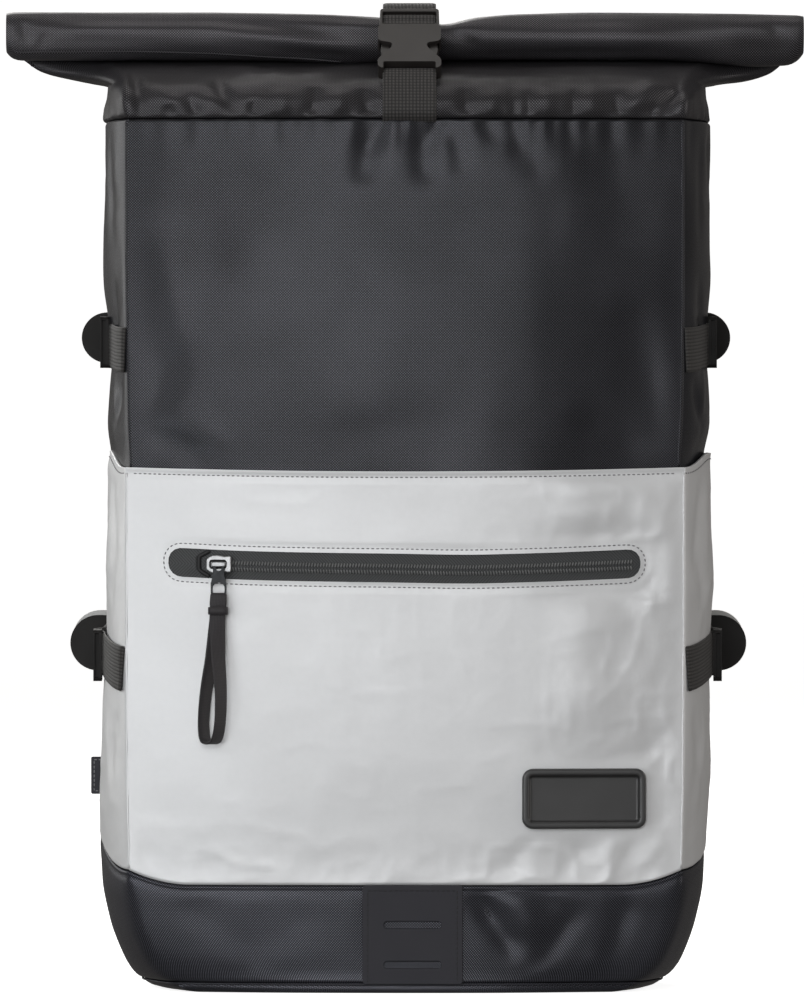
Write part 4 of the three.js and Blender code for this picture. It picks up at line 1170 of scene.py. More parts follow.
neck = {"y": 1.2, "z": 436.8, "half": 2.6, "seamX": 141, "tipX": 180}
roll = {
    "halfWidth": 187.9, "radius": 11, "centreY": -9, "centreZ": 448.6, "cloth": 2.0,
    "turns": 1.55, "step": 1.9, "square": 0.75, "inner": 0.5,
    "top": [(-187, 10.4), (-95, 10.3), (-40, 9.2), (-15, 8.0), (17, 4.6), (34, 8.0), (54, 9.6), (90, 10.4),
            (140, 9.9), (187, 8.7)],
    "low": [(-187, 12.4), (-95, 12.6), (-60, 13), (-30, 14.4), (-12, 13.5), (20, 12.2), (110, 12.4),
            (135, 13.2), (150, 14.2), (165, 15.4), (178, 15.2), (187, 13.6)],
    "hem": [(-184, 439.8), (-137, 440), (-95, 439.2), (-60, 437.2), (-30, 435)],
    "folds": [  # along the roll and up its front from the middle
        (-170, 1.5, -84, 1.2, 3.0, -1.1), (-96, 1.6, -22, -6.5, 3.0, -1.1), (-160, 6.6, -60, 6.4, 3.2, 1.3),
        (-80, 5.4, -18, -1, 3.2, 1.2), (-176, -4, -181, 6, 2.6, 1.0), (-172, -7, -166, 2, 2.4, 0.7),
        (-60, -9, -14, -12, 2.6, 0.8), (-130, -3, -70, -4.5, 3, -0.5), (-30, 4, -12, 1, 3, -0.8),
        (24, -1, 172, -3, 3.8, -1.1), (30, 6, 150, 6.4, 3.2, 1.1), (40, -9, 160, -10.5, 3.2, 1.2),
        (20, 2, 36, -7, 3, 0.9), (120, -1, 178, -8, 4, 0.7), (150, 4, 184, -3, 4, -0.6),
        (172, 4, 180, -9, 3, 0.9),
    ],
    "crumple": [(1.0, 1.0, 0.15), (0.45, 0.45, 0.3)],
}
collar = {
    "step": 1.7, "thick": 1.3, "rightSag": 1.3,
    "folds": [  # across from the middle and rise above the seam
        (-88, 17, -79, 3, 3.6, 2.6), (-71, 8, -69, 0, 2.4, 1.8), (-41, 13, -44, 1, 3.2, 2.4),
        (-20, 13, -15, 0, 4.6, 2.8), (-30, 12, -31, 1, 3.4, -1.4), (-58, 12, -56, 1, 4.5, -1.3),
        (-101, 9, -96, 0, 3, 1.9), (-110, 6, -108, 0, 2.2, 1.5), (-116, 14, -104, 3, 4, -1.2),
        (-126, 20, -122, 1, 3.4, 2.4), (-79, 21, -50, 18, 4, -1.4), (-50, 18, -6, 28, 4, -1.4),
        (28, 14, 29, 0, 4.2, 1.9), (41, 12, 40, 0, 3.6, -0.9), (50, 14, 52, 1, 3, 1.0),
        (57, 11, 58, 0, 2.8, 1.2),
        (66, 12, 68, 0, 4.6, -1.1), (78, 11, 78, 0, 2.4, 1.3), (87, 13, 88, 0, 4.8, -1.2),
        (98, 10, 99, 0, 2.8, 1.3), (104, 3, 118, 18, 4, -1.6), (112, 1, 124, 12, 2.8, 1.5),
        (122, 2, 129, 18, 3, 2.2), (133, 15, 119, 6, 2.6, 1.5), (60, 24, 110, 19, 5, -1.2),
    ],
    "crumple": [(30, 0.8, 0.15), (12, 0.35, 0.35)],
}


collarRise = {  # how the cloth climbs: in towards the neck and up, at the front and at the sides
    "rise": [0, 0.2, 0.4, 0.5, 0.62, 0.75, 0.88, 1],
    "frontOut": [0, 0, 0.02, 0.06, 0.2, 0.48, 0.78, 1],
    "frontIn": [0, 0.01, 0.08, 0.17, 0.34, 0.58, 0.81, 1],
    "frontUp": [407, 413.6, 420.2, 423.4, 427.4, 431.4, 434.4, 436.8],
    "sideIn": [0, 0.06, 0.26, 0.42, 0.6, 0.78, 0.9, 1],
    "sideOut": [0, -0.01, -0.05, -0.06, 0.16, 0.46, 0.77, 1],
    "sideUp": [407, 412.8, 419.4, 424.2, 425.9, 427.6, 431, 436.8],
}
collarAt = {column: smoothCurve(collarRise["rise"], collarRise[column]) for column in collarRise}


def collarSurface(rise):
    # rings from the body seam up to the flat neck, columns once round from the middle of the back
    foot = ringAt(bodyTop, 0, collar["step"])
    x, y = foot[:, 0], foot[:, 1]
    onSide = np.abs(x) > formAt["seam"](bodyTop) + 0.2
    onFront = ~onSide & (y < -30)
    share = np.where(onSide, np.clip((y + 57) / 114, 0, 1), 0)
    swell = np.sin(np.pi * share)
    reach = np.where(onSide, neck["seamX"] + (neck["tipX"] - neck["seamX"]) * swell ** 0.9,
                     neck["seamX"] * np.abs(x) / 129.6)
    neckY = np.where(onSide, neck["y"] - neck["half"] * np.cos(np.pi * share),
                     neck["y"] + np.where(onFront, -1, 1) * neck["half"])
    side = (swell ** 0.7)[None]
    t = rise[:, None]
    inward = collarAt["frontIn"](t) * (1 - side) + collarAt["sideIn"](t) * side
    outward = collarAt["frontOut"](t) * (1 - side) + collarAt["sideOut"](t) * side
    z = collarAt["frontUp"](t) * (1 - side) + collarAt["sideUp"](t) * side
    z = z - collar["rightSag"] * (x > 0) * side * np.sin(np.pi * np.clip(2 * t - 1, 0, 1))
    wide = np.sign(x) * (np.abs(x) + (reach - np.abs(x)) * outward)
    return np.stack([wide, y + (neckY - y) * inward, z], -1)


def makeCollar():
    rise = np.concatenate([[0, 0.012, 0.03, 0.05], np.linspace(0.075, 1, 42)])
    p = collarSurface(rise)
    run = roundRun(p, 0)
    up = runAlong(p)
    lift = p[..., 2] - bodyTop
    x = p[0, :, 0][None] + 0 * lift
    front = smoothStep(-p[0, :, 1], 20, 50)[None]
    pucker = np.sin(run * 0.75 + 3 * np.sin(run * 0.11)) * np.exp(-lift / 3.5)
    relief = front * foldRelief(x, lift, collar["folds"]) + crumple(p, collar["crumple"], 41)
    puff = 2.0 * np.sin(np.pi * np.clip(lift / 26, 0, 1)) * front
    relief = relief * smoothStep(up, 0, 3) * (1 - smoothStep(rise, 0.75, 1))[:, None] + puff
    relief = relief + 0.5 * pucker + turnIn(up, 2.0)
    p = p + gridNormals(p) * relief[..., None]
    tube = sewSheet("collar_cloth", p, spread(run[None], up), collar["thick"],
                    collarNylonPaintedLight, "collar_cloth", "collar")


rollTopAt = smoothCurve(*zip(*roll["top"]))
rollLowAt = smoothCurve(*zip(*roll["low"]))


def rollPoint(x, turn, inset=0):
    # turn 0 is the back of the roll, a quarter turn its top, half a turn its front
    wound = roll["inner"] * smoothStep(turn, 1.45 * np.pi, 2.1 * np.pi)
    upward = np.sign(np.sin(turn)) * np.abs(np.sin(turn)) ** roll["square"]
    forward = np.sign(np.cos(turn)) * np.abs(np.cos(turn)) ** roll["square"]
    tall = np.where(upward > 0, rollTopAt(x), rollLowAt(x))
    long = spread(x / 60, turn * 1.3, 0 * turn)
    soft = 0.5 * crumple(long, roll["crumple"], 51) + foldRelief(x, tall * upward, roll["folds"])
    outside = smoothStep(turn, 0.2, 1.2) * (1 - smoothStep(turn, 1.4 * np.pi, 1.7 * np.pi))
    radius = 1 - wound + (soft * outside - inset) / roll["radius"]
    endFade = 1 - 0.05 * smoothStep(np.abs(x), 183, 188) ** 2
    corner = np.clip((np.abs(x) - 180) / 8.2, 0, 1)
    tall = tall * np.where(upward > 0, 1, 0.55 + 0.45 * np.sqrt(1 - corner ** 2))
    y = roll["centreY"] + roll["radius"] * radius * forward * endFade
    z = roll["centreZ"] + tall * radius * upward * endFade
    return spread(x, y, z)


def rollTurnAt(x, z):
    # where on the roll's lower front a height lies
    drop = np.clip((roll["centreZ"] - z) / rollLowAt(x), 0, 0.999)
    return np.pi + np.arcsin(drop ** (1 / roll["square"]))


def makeRoll():
    x = edgeSpaced(-roll["halfWidth"] + 0.4, roll["halfWidth"] - 0.4, roll["step"])[None]
    turn = np.linspace(0, roll["turns"] * 2 * np.pi, 76)[:, None]
    wound = rollPoint(x, turn)
    foot = np.repeat(wound[:1], 5, 0)
    foot[..., 2] = np.linspace(neck["z"] - 3, roll["centreZ"] - 1, 5)[:, None]
    foot[..., 0] *= np.linspace(0.94, 1, 5)[:, None]
    p = np.concatenate([foot, wound])[::-1]
    up = np.median(runAlong(p), axis=1, keepdims=True)
    sheet = sewSheet("roll_cloth", p, spread(x, up), roll["cloth"], rollNylonPaintedLight, "collar_cloth", "roll_top")
    hemX = np.linspace(-184, -30, 90)
    hem = rollPoint(hemX, rollTurnAt(hemX, smoothCurve(*zip(*roll["hem"]))(hemX)), -0.1)
    bead = beadAlong("roll_hem", hem, 0.45, (0, 0, 1))
    finishPiece(bead, rollNylonPaintedLight, "collar_cloth")


makeCollar()
makeRoll()
print("collar gathered and rolled")


# webbing

webbing = {"wide": 25, "side": 21, "thick": 1.4, "rib": 1.64, "ribDeep": 0.07}


def webSection(width, thick):
    # a flat strap with rounded edges and shallow ribs on both faces
    across = np.linspace(-1, 1, max(9, int(width / webbing["rib"] * 4)))
    edge = np.sqrt(np.clip(1 - np.abs(across) ** 14, 0, 1))
    ribs = webbing["ribDeep"] * np.abs(np.sin(np.pi * across * width / 2 / webbing["rib"]))
    face = edge * (thick / 2 - webbing["ribDeep"] + ribs)
    top = np.stack([across * width / 2, face], -1)
    low = np.stack([across * width / 2, -face], -1)[::-1]
    return np.concatenate([low[:-1], top[:-1]])[::-1]


def makeStrap(name, path, across, width, node, material=strapWebbing):
    strap = sweepBand(name, path, across, webSection(width, webbing["thick"]))
    return finishPiece(strap, material, "webbing", node)


buckle = {"x": 2.1, "y": -40.2, "z": 443.7, "lean": 39.7, "thick": 7, "plugThick": 5.4, "prongOut": 11.2,
          "prongThick": 3}
overRoll = [  # (y, z) from the back panel over the roll, under the plug's end bar and out through its slot
    (64.3, 370), (64.2, 383), (61.6, 397), (59, 407), (57, 416), (51.6, 424.2), (30, 439.4), (6, 455.4),
    (-2, 460.4), (-9, 462.6), (-15, 461), (-19.4, 456.8), (-22.4, 453.9), (-25, 455.4), (-26.8, 456.2),
    (-28.4, 454.9), (-29.4, 453.2), (-30.9, 452.9), (-32.6, 451.2), (-33.4, 449.5)]
underSocket = [  # (y, z) from the front seam up and round the socket's lower bar
    (-63.4, 405.6), (-65.8, 407.6), (-66.9, 411), (-65.6, 416.5), (-63, 422.4), (-60.2, 427),
    (-57.6, 429.6), (-55.2, 429.4), (-54.2, 427), (-55.2, 423.6)]


def makeTopStraps():
    for name, rows, node in (("roll_strap_web", overRoll, "roll_strap"),
                             ("buckle_strap_web", underSocket, "buckle_strap")):
        path = splinePath([(buckle["x"], y, z) for y, z in rows], 1.0)
        makeStrap(name, path, (1, 0, 0), webbing["wide"], node)


sideStraps = {
    "upper": {"z": 299, "climb": 6, "over": 0, "wingRadius": 12, "wingReach": 154, "peek": 0.2, "drop": 0,
              "rightMore": 1},
    "lower": {"z": 150.5, "climb": 14, "over": layerOut, "wingRadius": 13.2, "wingReach": 159.5, "peek": 2.4,
              "drop": 5, "rightMore": 3.2},
}
sideRun = {"start": 1.6, "buckle": 56, "end": 104, "wing": 106}
adjuster = {"reach": 10.5, "bar": 3, "low": 0.8, "high": 4.8, "slack": 1.6, "midBar": 2.2}
threaded = [(-12, 0), (-6.8, 0), (-2.2, 3.7), (2.2, 3.7), (6.8, 0), (12, 0)]  # (along, out) at the adjuster


def strapPoint(sign, row, run, out):
    z = row["z"] + row["climb"] * np.asarray(run, float) / sideRun["end"]
    share = np.asarray(run, float) / sideLength
    lift = row["over"] + clearance + webbing["thick"] / 2 + np.asarray(out, float) - strapDent(share, z)
    return sideAt(sign, share, z, lift)


def makeSideStrap(label, sign, row):
    runs = [(sideRun["start"], -0.9), (3.4, -0.2)] + [(run, 0) for run in (9.8, 18, 26.8, 35)]
    runs += [(sideRun["buckle"] + along, out) for along, out in threaded]
    runs += [(run, 0) for run in (80, 92, sideRun["end"])]
    path = splinePath([strapPoint(sign, row, run, out) for run, out in runs], 1.2)
    makeStrap(f"side_strap_{label}_web", path, (0, 0, 1), webbing["side"], f"side_strap_{label}", sideWebbing)


def makeAdjuster(label, sign, row):
    height = webbing["side"] + 2 * adjuster["slack"]
    plate = roundedPlate(f"side_adjuster_{label}_plate", 2 * adjuster["reach"], height,
                         adjuster["high"] - adjuster["low"], 1.8, 4)
    slot = adjuster["reach"] - 1.5 * adjuster["bar"]
    for toEnd in (-1, 1):
        cutter = roundedPlate("slot_cutter", slot, webbing["side"] + 1.2, 14, 0.6, 3)
        cutWith(plate, moveBy(cutter, toEnd * (adjuster["bar"] + slot) / 2))
    thick = adjuster["high"] - adjuster["low"]
    recess = roundedPlate("recess_cutter", adjuster["bar"] + slot, webbing["side"] + 1.2, thick, 0.6, 3)
    cutWith(plate, moveBy(recess, 0, 0, adjuster["midBar"]))
    # the hollow end that faces forwards
    hollow = roundedPlate("hollow_cutter", 3.2, height - 3.2, 2.0, 0.4, 2)
    cutWith(plate, moveBy(hollow, -sign * adjuster["reach"], 0, 0.3))
    softenEdges(plate, 0.4)
    middle = (adjuster["low"] + adjuster["high"]) / 2
    place = strapPoint(sign, row, sideRun["buckle"], middle) + (0, 0, 1.4 - row["drop"] * 0.6)
    along = strapPoint(sign, row, sideRun["buckle"] + adjuster["reach"], middle)
    along = along - strapPoint(sign, row, sideRun["buckle"] - adjuster["reach"], middle)
    seatPiece(plate, place, along * sign * (1, 1, 0.2))
    finishPiece(plate, darkPlastic, "moulded_plastic", f"side_adjuster_{label}")


def wingBlank(name, reach, radius, thick):
    # a disc whose inner half is drawn out straight to the bag
    startHand()
    bpy.ops.mesh.primitive_cylinder_add(vertices=56, radius=radius * mm, depth=thick * mm)
    wing = takeNew(name)
    bpy.ops.object.mode_set(mode="EDIT")
    pick(wing, "VERT", lambda v: v.co.x < -1e-6)
    bpy.ops.transform.resize(value=(0, 1, 1), center_override=(0, 0, 0))
    bpy.ops.transform.translate(value=((radius - reach) * mm, 0, 0))
    bpy.ops.mesh.select_all(action="SELECT")
    bpy.ops.mesh.remove_doubles(threshold=1e-6)
    bpy.ops.mesh.dissolve_degenerate()
    bpy.ops.transform.translate(value=((reach - radius) * mm, 0, 0))
    bpy.ops.object.mode_set(mode="OBJECT")
    return wing


def makeWing(label, sign, row):
    root = strapPoint(sign, row, sideRun["wing"], 0)
    root = sideAt(sign, sideRun["wing"] / sideLength, root[2], row["over"] + clearance)
    reach = row["wingReach"] + max(sign, 0) * row["rightMore"] - abs(root[0])
    for name, thick, back, up, material, slotName in (
            ("plate", 1.8, 1.6, 0, darkPlastic, "moulded_plastic"),
            ("back", 0.9, 3.1, row["peek"], palePlastic, "pale_coated_cloth")):
        wing = wingBlank(f"strap_wing_{label}_{name}", reach - up / 2, row["wingRadius"], thick)
        softenEdges(wing, 0.35)
        place = root + np.array((0, back, up + 1.5 - row["drop"]))
        seatPiece(wing, place, (sign, 0, 0), (0, 0, sign))
        finishPiece(wing, material, slotName, *([f"strap_wing_{label}"] if name == "plate" else []))


makeTopStraps()
for (side, sign), (levelName, row) in itertools.product((("left", -1), ("right", 1)), sideStraps.items()):
    makeSideStrap(f"{side}_{levelName}", sign, row)
    makeAdjuster(f"{side}_{levelName}", sign, row)
    makeWing(f"{side}_{levelName}", sign, row)
print("straps threaded")


# buckle over the roll

socketRows = [  # (up, half width) in the buckle's own plane
    (-24.5, 12.9), (-23.6, 14.2), (-22, 14.8), (-18.5, 14.8), (-16.5, 14.0), (-14.5, 12.6), (-12.5, 11),
    (-10.5, 9.6), (-8.6, 8.5), (-7, 8.1), (-5.6, 8.4), (-4.9, 9.4), (-4.5, 11), (-4.1, 12.8), (-3.4, 14),
    (-2, 14.7), (6.4, 14.7), (7.8, 14.3), (8.4, 13.4)]
plugRows = [(8.7, 13.5), (9.2, 14), (21, 13.8), (22.2, 13.1)]
prongRows = [(-13.6, 0.8), (-12.6, 1.7), (-8.5, 2.3), (-4, 1.9), (-2, 1.2), (8.8, 1.2)]


def leanBuckle(piece):
    piece.rotation_euler = (math.radians(buckle["lean"]), 0, 0)
    piece.location = Vector((buckle["x"], buckle["y"], buckle["z"])) * mm
    onlySelect(piece)
    bpy.ops.object.transform_apply(location=True, rotation=True, scale=True)
    return piece


def makeBuckle():
    socket = outlinePlate("buckle_socket_shell", socketRows, buckle["thick"])
    # a strap slot that opens forwards, so that its bar sits at the back
    for high, low, deep, out in ((-19.8, -23, 20, 0), (-19.8, -30, 10, 4.2)):
        cutter = roundedPlate("slot_cutter", 24.4, high - low, deep, 0.9, 4)
        cutWith(socket, moveBy(cutter, 0, (high + low) / 2, out))
    for toSide in (-1, 1):
        channel = roundedPlate("channel_cutter", 5.4, 14, 3.6, 0.4, 2)
        cutWith(socket, moveBy(channel, toSide * buckle["prongOut"], 3))
    softenEdges(socket, 0.8, 3)
    finishPiece(leanBuckle(socket), bucklePlastic, "moulded_plastic", "buckle_socket")
    plug = outlinePlate("buckle_plug_frame", plugRows, buckle["plugThick"])
    cutter = roundedPlate("slot_cutter", 25, 9.6, 20, 0.8, 4)
    cutWith(plug, moveBy(cutter, 0, 15.2))
    softenEdges(plug, 0.5, 3)
    prongs = []
    for toSide in (-1, 1):
        # a springy arm that shows in the socket's side notch
        prong = softenEdges(outlinePlate("prong", prongRows, buckle["prongThick"]), 0.5, 2)
        prongs.append(moveBy(prong, toSide * buckle["prongOut"]))
    joinPieces(plug, *prongs)
    finishPiece(leanBuckle(plug), bucklePlastic, "moulded_plastic", "buckle_plug")


makeBuckle()
print("buckle closed")


# zip

zipParts = {"tapeOut": 1.4, "tapeThick": 0.8, "tapeHalf": 8.2,
            "pitch": 1.36, "toothRadius": 0.42, "drop": 0.5}
sliderOut = zipParts["tapeOut"] + 1.7
tabOut = sliderOut + 2.7


def makeZip():
    x = np.arange(zipOpening["x0"] - 1.5, zipOpening["x1"] + 1.6, 1.5)[None]
    z = zipOpening["z"] + np.linspace(-zipParts["tapeHalf"], zipParts["tapeHalf"], 15)[:, None]
    p = frontAt(x, z + zipLine(x), zipParts["tapeOut"])
    p[..., 1] -= 0.25 * np.exp(-((z - zipOpening["z"]) / 3.2) ** 2)
    sewSheet("zip_tape_cloth", p, spread(x, z), zipParts["tapeThick"], zipTwill, "zip_cloth", "zip_tape")
    # two rows of slanted coil turns that meet in the middle
    tooth = np.arange(zipOpening["slider"] + 6.4, zipOpening["x1"] - 3.5, zipParts["pitch"])
    middle = zipOpening["z"] - zipParts["drop"] + zipLine(tooth)
    starts = [frontAt(tooth, middle + row * 0.55, zipParts["tapeOut"] + 0.9) for row in (-1, 1)]
    ends = [frontAt(tooth + 0.5, middle + row * 2.4, zipParts["tapeOut"] + 0.6) for row in (-1, 1)]
    chain = capsules("zip_chain_coil", np.vstack(starts), np.vstack(ends), zipParts["toothRadius"])
    finishPiece(chain, coilPlastic, "zip_cloth", "zip_chain")


garage = {"edge": -96.6, "point": -91.6, "thick": 0.77}


def makeGarage():
    # a doubled end tab whose edge steps back in the middle
    z = zipOpening["z"] + np.linspace(-zipParts["tapeHalf"], zipParts["tapeHalf"], 33)
    step = smoothStep(np.abs(z - zipOpening["z"]), 2.6, 6.6)
    right = garage["edge"] + (garage["point"] - garage["edge"]) * step
    share = np.linspace(0, 1, 14)[None]
    x = zipOpening["x0"] - 1.2 + (right[:, None] - zipOpening["x0"] + 1.2) * share
    p = frontAt(x, z[:, None] + zipLine(x), zipParts["tapeOut"] + 0.3)
    p[..., 1] -= 0.7 * smoothStep(share, 0.35, 1) * (1 - step * 0.6)[:, None]
    sewSheet("zip_garage_cloth", p, spread(x, z[:, None]), garage["thick"],
             zipTwill, "zip_cloth", "zip_garage")
    # a dark bead beside the tab's edge: painted shadow in the gap under the tab
    edge = frontAt(right + 0.9, z + zipLine(right), zipParts["tapeOut"] + 0.4)[4:-4]
    finishPiece(beadAlong("zip_garage_painted_shadow", edge, 1.05), darkThread, "zip_cloth")


def zipSeat(out):
    level = zipOpening["z"] + zipLine(zipOpening["slider"])
    place = frontAt(zipOpening["slider"], level, out)
    along = frontAt(zipOpening["slider"] + 1, level, out)
    return place, along - place


sliderRows = [(-5.9, 1.6), (-5.3, 2.7), (-4.2, 3.6), (-2.8, 4.2), (-1, 4.3), (1, 4.0), (2.6, 3.7), (5.4, 3.8),
              (5.9, 3.5)]
tab = {"thick": 1.2, "eyeDrop": 13.6}


def makeSlider():
    body = outlinePlate("zip_slider_body", sliderRows, 2.4)
    onlySelect(body)
    bpy.ops.transform.rotate(value=math.radians(90), orient_axis="Z", center_override=(0, 0, 0))
    bpy.ops.object.transform_apply(location=False, rotation=True, scale=False)
    softenEdges(body, 0.7, 3)
    bridge = roundedPlate("bridge", 6.4, 2.2, 1.1, 0.9, 4)
    softenEdges(moveBy(bridge, 0.2, 0, 3.9), 0.4, 3)
    posts = []
    for end in (-2.7, 3.0):
        post = roundedPlate("post", 1.2, 2.2, 3.2, 0.4, 3)
        posts.append(softenEdges(moveBy(post, end, 0, 2.3), 0.25, 2))
    joinPieces(body, bridge, *posts)
    place, along = zipSeat(sliderOut)
    seatPiece(body, place, along)
    finishPiece(body, zipMetal, "zip_metal", "zip_slider")
    # a dark plate under the bridge: painted shadow where the bridge shades the slider
    bridgeShadow = softenEdges(roundedPlate("zip_slider_painted_shadow", 8.2, 4.4, 0.4, 1.4, 4), 0.1, 2)
    place, along = zipSeat(sliderOut + 1.25)
    seatPiece(bridgeShadow, place - along * 0.4, along)
    finishPiece(bridgeShadow, darkPlastic, "zip_metal")


def makePullTab():
    rows = [(-16, 2.4), (-15.6, 3.2), (-14.5, 3.6), (-9.5, 3.7), (-7.4, 3.3), (-5, 2.7), (-1, 2.6),
            (0.6, 2.2), (1.2, 1.5)]
    plate = outlinePlate("pull_tab_plate", rows, tab["thick"])
    for width, height, up, corner in ((2.6, 3.2, -1.4, 1.0), (5.6, 6.4, -11.7, 2.6)):
        cutter = roundedPlate("eye_cutter", width, height, 10, corner, 5)
        cutWith(plate, moveBy(cutter, 0, up))
    softenEdges(plate, 0.35, 3)
    place, along = zipSeat(tabOut)
    seatPiece(plate, place, along)
    finishPiece(plate, tabMetal, "moulded_plastic", "pull_tab")


loop = {
    "thick": 1.0,
    # drop below the eye, half distance of the legs, turn in degrees, stand off, width
    "legs": [(1.3, 1.3, 0, 0, 7.6), (5, 1.5, 0, 0, 7.8), (9, 1.05, 0, 0.2, 7.2), (16, 1.2, 10, 0.9, 7.4),
             (30, 2.8, 32, 2.6, 7.6), (46, 4.9, 45, 4.6, 7.6), (60, 5.2, 48, 5, 7.6),
             (68, 3.6, 48, 4.8, 7.6)],
    "top": (0.5, 0, 0, 0, 7.2), "bottom": (69.8, 0, 48, 4.6, 7.6), "lean": 3.6,
    "keeperDrop": 8.4, "keeperWide": 4.2, "keeperDeep": 2.9,
}


def loopPlace():
    eye = 0.7 - tab["eyeDrop"] - 0.3
    return zipSeat(tabOut)[0] + np.array((0, 0, eye))


def makePullLoop():
    rows = [loop["top"], *loop["legs"], loop["bottom"], *loop["legs"][::-1]]
    points, wides = [], []
    for i, (drop, apart, turn, out, width) in enumerate(rows):
        legSide = 1 if i <= len(loop["legs"]) + 1 else -1
        angle = math.radians(turn)
        aside = math.sin(angle) * apart * legSide - loop["lean"] * max(drop, 0) / 70
        points.append((aside, -math.cos(angle) * apart * legSide - out, -drop))
        wides.append((math.cos(angle), math.sin(angle), width))
    wides = np.array(wides + wides[:1])
    t = np.linspace(0, len(points), len(points) + 1)
    fine = np.linspace(0, len(points), 190, endpoint=False)
    track = closedSpline(np.array(points), fine)
    turned = np.stack([np.interp(fine, t, wides[:, k]) for k in range(3)], -1)
    across = np.concatenate([turned[:, :2], np.zeros((len(fine), 1))], 1)
    sections = np.stack([loopSection(width) for width in turned[:, 2]])
    band = sweepBand("pull_loop_web", track + loopPlace(), across, sections, closed=True)
    finishPiece(band, loopWebbing, "webbing", "pull_loop")
    keeper = loopPlace() + np.array((0, -0.3, -loop["keeperDrop"]))
    ringLine = [(keeper[0] - 0.3 + loop["keeperWide"] * math.copysign(abs(math.cos(a)) ** 0.35, math.cos(a)),
                 keeper[1] + loop["keeperDeep"] * math.copysign(abs(math.sin(a)) ** 0.5, math.sin(a)),
                 keeper[2])
                for a in np.linspace(0, 2 * np.pi, 48, endpoint=False)]
    flat = [(-1.6, -0.45), (1.6, -0.45), (1.8, 0), (1.6, 0.45), (-1.6, 0.45), (-1.8, 0)]
    holder = sweepBand("loop_keeper_web", ringLine, (0, 0, 1), flat, closed=True)
    finishPiece(holder, loopWebbing, "webbing", "loop_keeper")


def loopSection(width):
    half, thick = width / 2, loop["thick"] / 2
    low = [(-half, 0), (-half + 0.25, -thick * 0.8), (-half + 0.7, -thick), (0, -thick * 0.92),
           (half - 0.7, -thick), (half - 0.25, -thick * 0.8)]
    return np.array(low + [(-across, -out) for across, out in low])


makeZip()
makeGarage()
makeSlider()
makePullTab()
makePullLoop()
print("zip closed")


# badge and base patch

badge = {"x": 83.2, "z": 90.6, "width": 58, "height": 28, "corner": 5, "rim": 3.4, "thick": 3.2,
         "recess": 2.6}


def makeBadge():
    plate = roundedPlate("badge_plate", badge["width"], badge["height"], badge["thick"], badge["corner"], 10)
    bpy.ops.object.mode_set(mode="EDIT")
    pick(plate, "FACE", lambda face: face.normal.z > 0.9)
    bpy.ops.mesh.inset(thickness=badge["rim"] * mm)
    bpy.ops.mesh.extrude_region_move(TRANSFORM_OT_translate={"value": (0, 0, -badge["recess"] * mm)})
    bpy.ops.object.mode_set(mode="OBJECT")
    softenEdges(plate, 1.25, 5)
    out = layerOut + clearance + badge["thick"] / 2
    place = frontAt(badge["x"], badge["z"], out)
    along = frontAt(badge["x"] + 1, badge["z"], out) - place
    seatPiece(plate, place, along)
    finishPiece(plate, badgeRubber, "smooth_rubber", "badge")


patch = {"x": 3.5, "z": 27.4, "width": 46.5, "height": 46, "thick": 1.6, "slotWidth": 26.5, "slotHeight": 3.3,
         "slots": (4.6, -13.9), "stitch": 2.5}


def makePatch():
    plate = roundedPlate("base_patch_plate", patch["width"], patch["height"], patch["thick"], 1.2, 4)
    for up in patch["slots"]:
        cutter = roundedPlate("slot_cutter", patch["slotWidth"], patch["slotHeight"], 10, 1.5, 6)
        cutWith(plate, moveBy(cutter, 0, up))
    softenEdges(plate, 0.4, 3)
    out = layerOut + clearance + patch["thick"] / 2
    y = frontAt(patch["x"], patch["z"], out)[1]
    seatPiece(plate, (patch["x"], y, patch["z"]), (1, 0, 0))
    finishPiece(plate, patchRubber, "smooth_rubber", "base_patch")
    middle = (patch["x"], y - patch["thick"] / 2 + 0.08, patch["z"])
    halfX, halfZ = patch["width"] / 2 - patch["stitch"], patch["height"] / 2 - patch["stitch"]
    line = [(-halfX, -halfZ - 1.5), (-halfX, halfZ), (halfX, halfZ), (halfX, -halfZ - 1.5)]
    thread = borderStitches("patch_stitches", middle, line, 2.4, 1.6, 0.26)
    finishPiece(thread, darkThread, "smooth_rubber")


label = {"z": 98.4, "height": 17.8, "length": 11.2, "thick": 1.1, "share": 0.8, "stitch": 1.5}


def makeLabel():
    # a folded tag with a plain sewn border
    tag = roundedPlate("side_label_tag", label["length"], label["height"], label["thick"], 0.8, 3)
    softenEdges(tag, 0.3, 3)
    root = sideAt(-1, label["share"], label["z"], layerOut + clearance)
    place = root + np.array((-label["length"] / 2, 0, 0))
    seatPiece(tag, place, (1, 0, 0))
    finishPiece(tag, patchRubber, "webbing", "side_label")
    halfX, halfZ = label["length"] / 2 - label["stitch"], label["height"] / 2 - label["stitch"]
    middle = (place[0], place[1] - label["thick"] / 2 - 0.02, place[2])
    line = [(halfX, -halfZ), (-halfX, -halfZ), (-halfX, halfZ), (halfX, halfZ)]
    thread = borderStitches("side_label_stitches", middle, line, 2.2, 1.5, 0.3)
    finishPiece(thread, paleThread, "webbing")


makeBadge()
makePatch()
makeLabel()
print("badge, patch and tag set")


# back and shoulder straps, which the front view hides

backPad = {"step": 3.0, "crown": 5, "thick": 1.5}


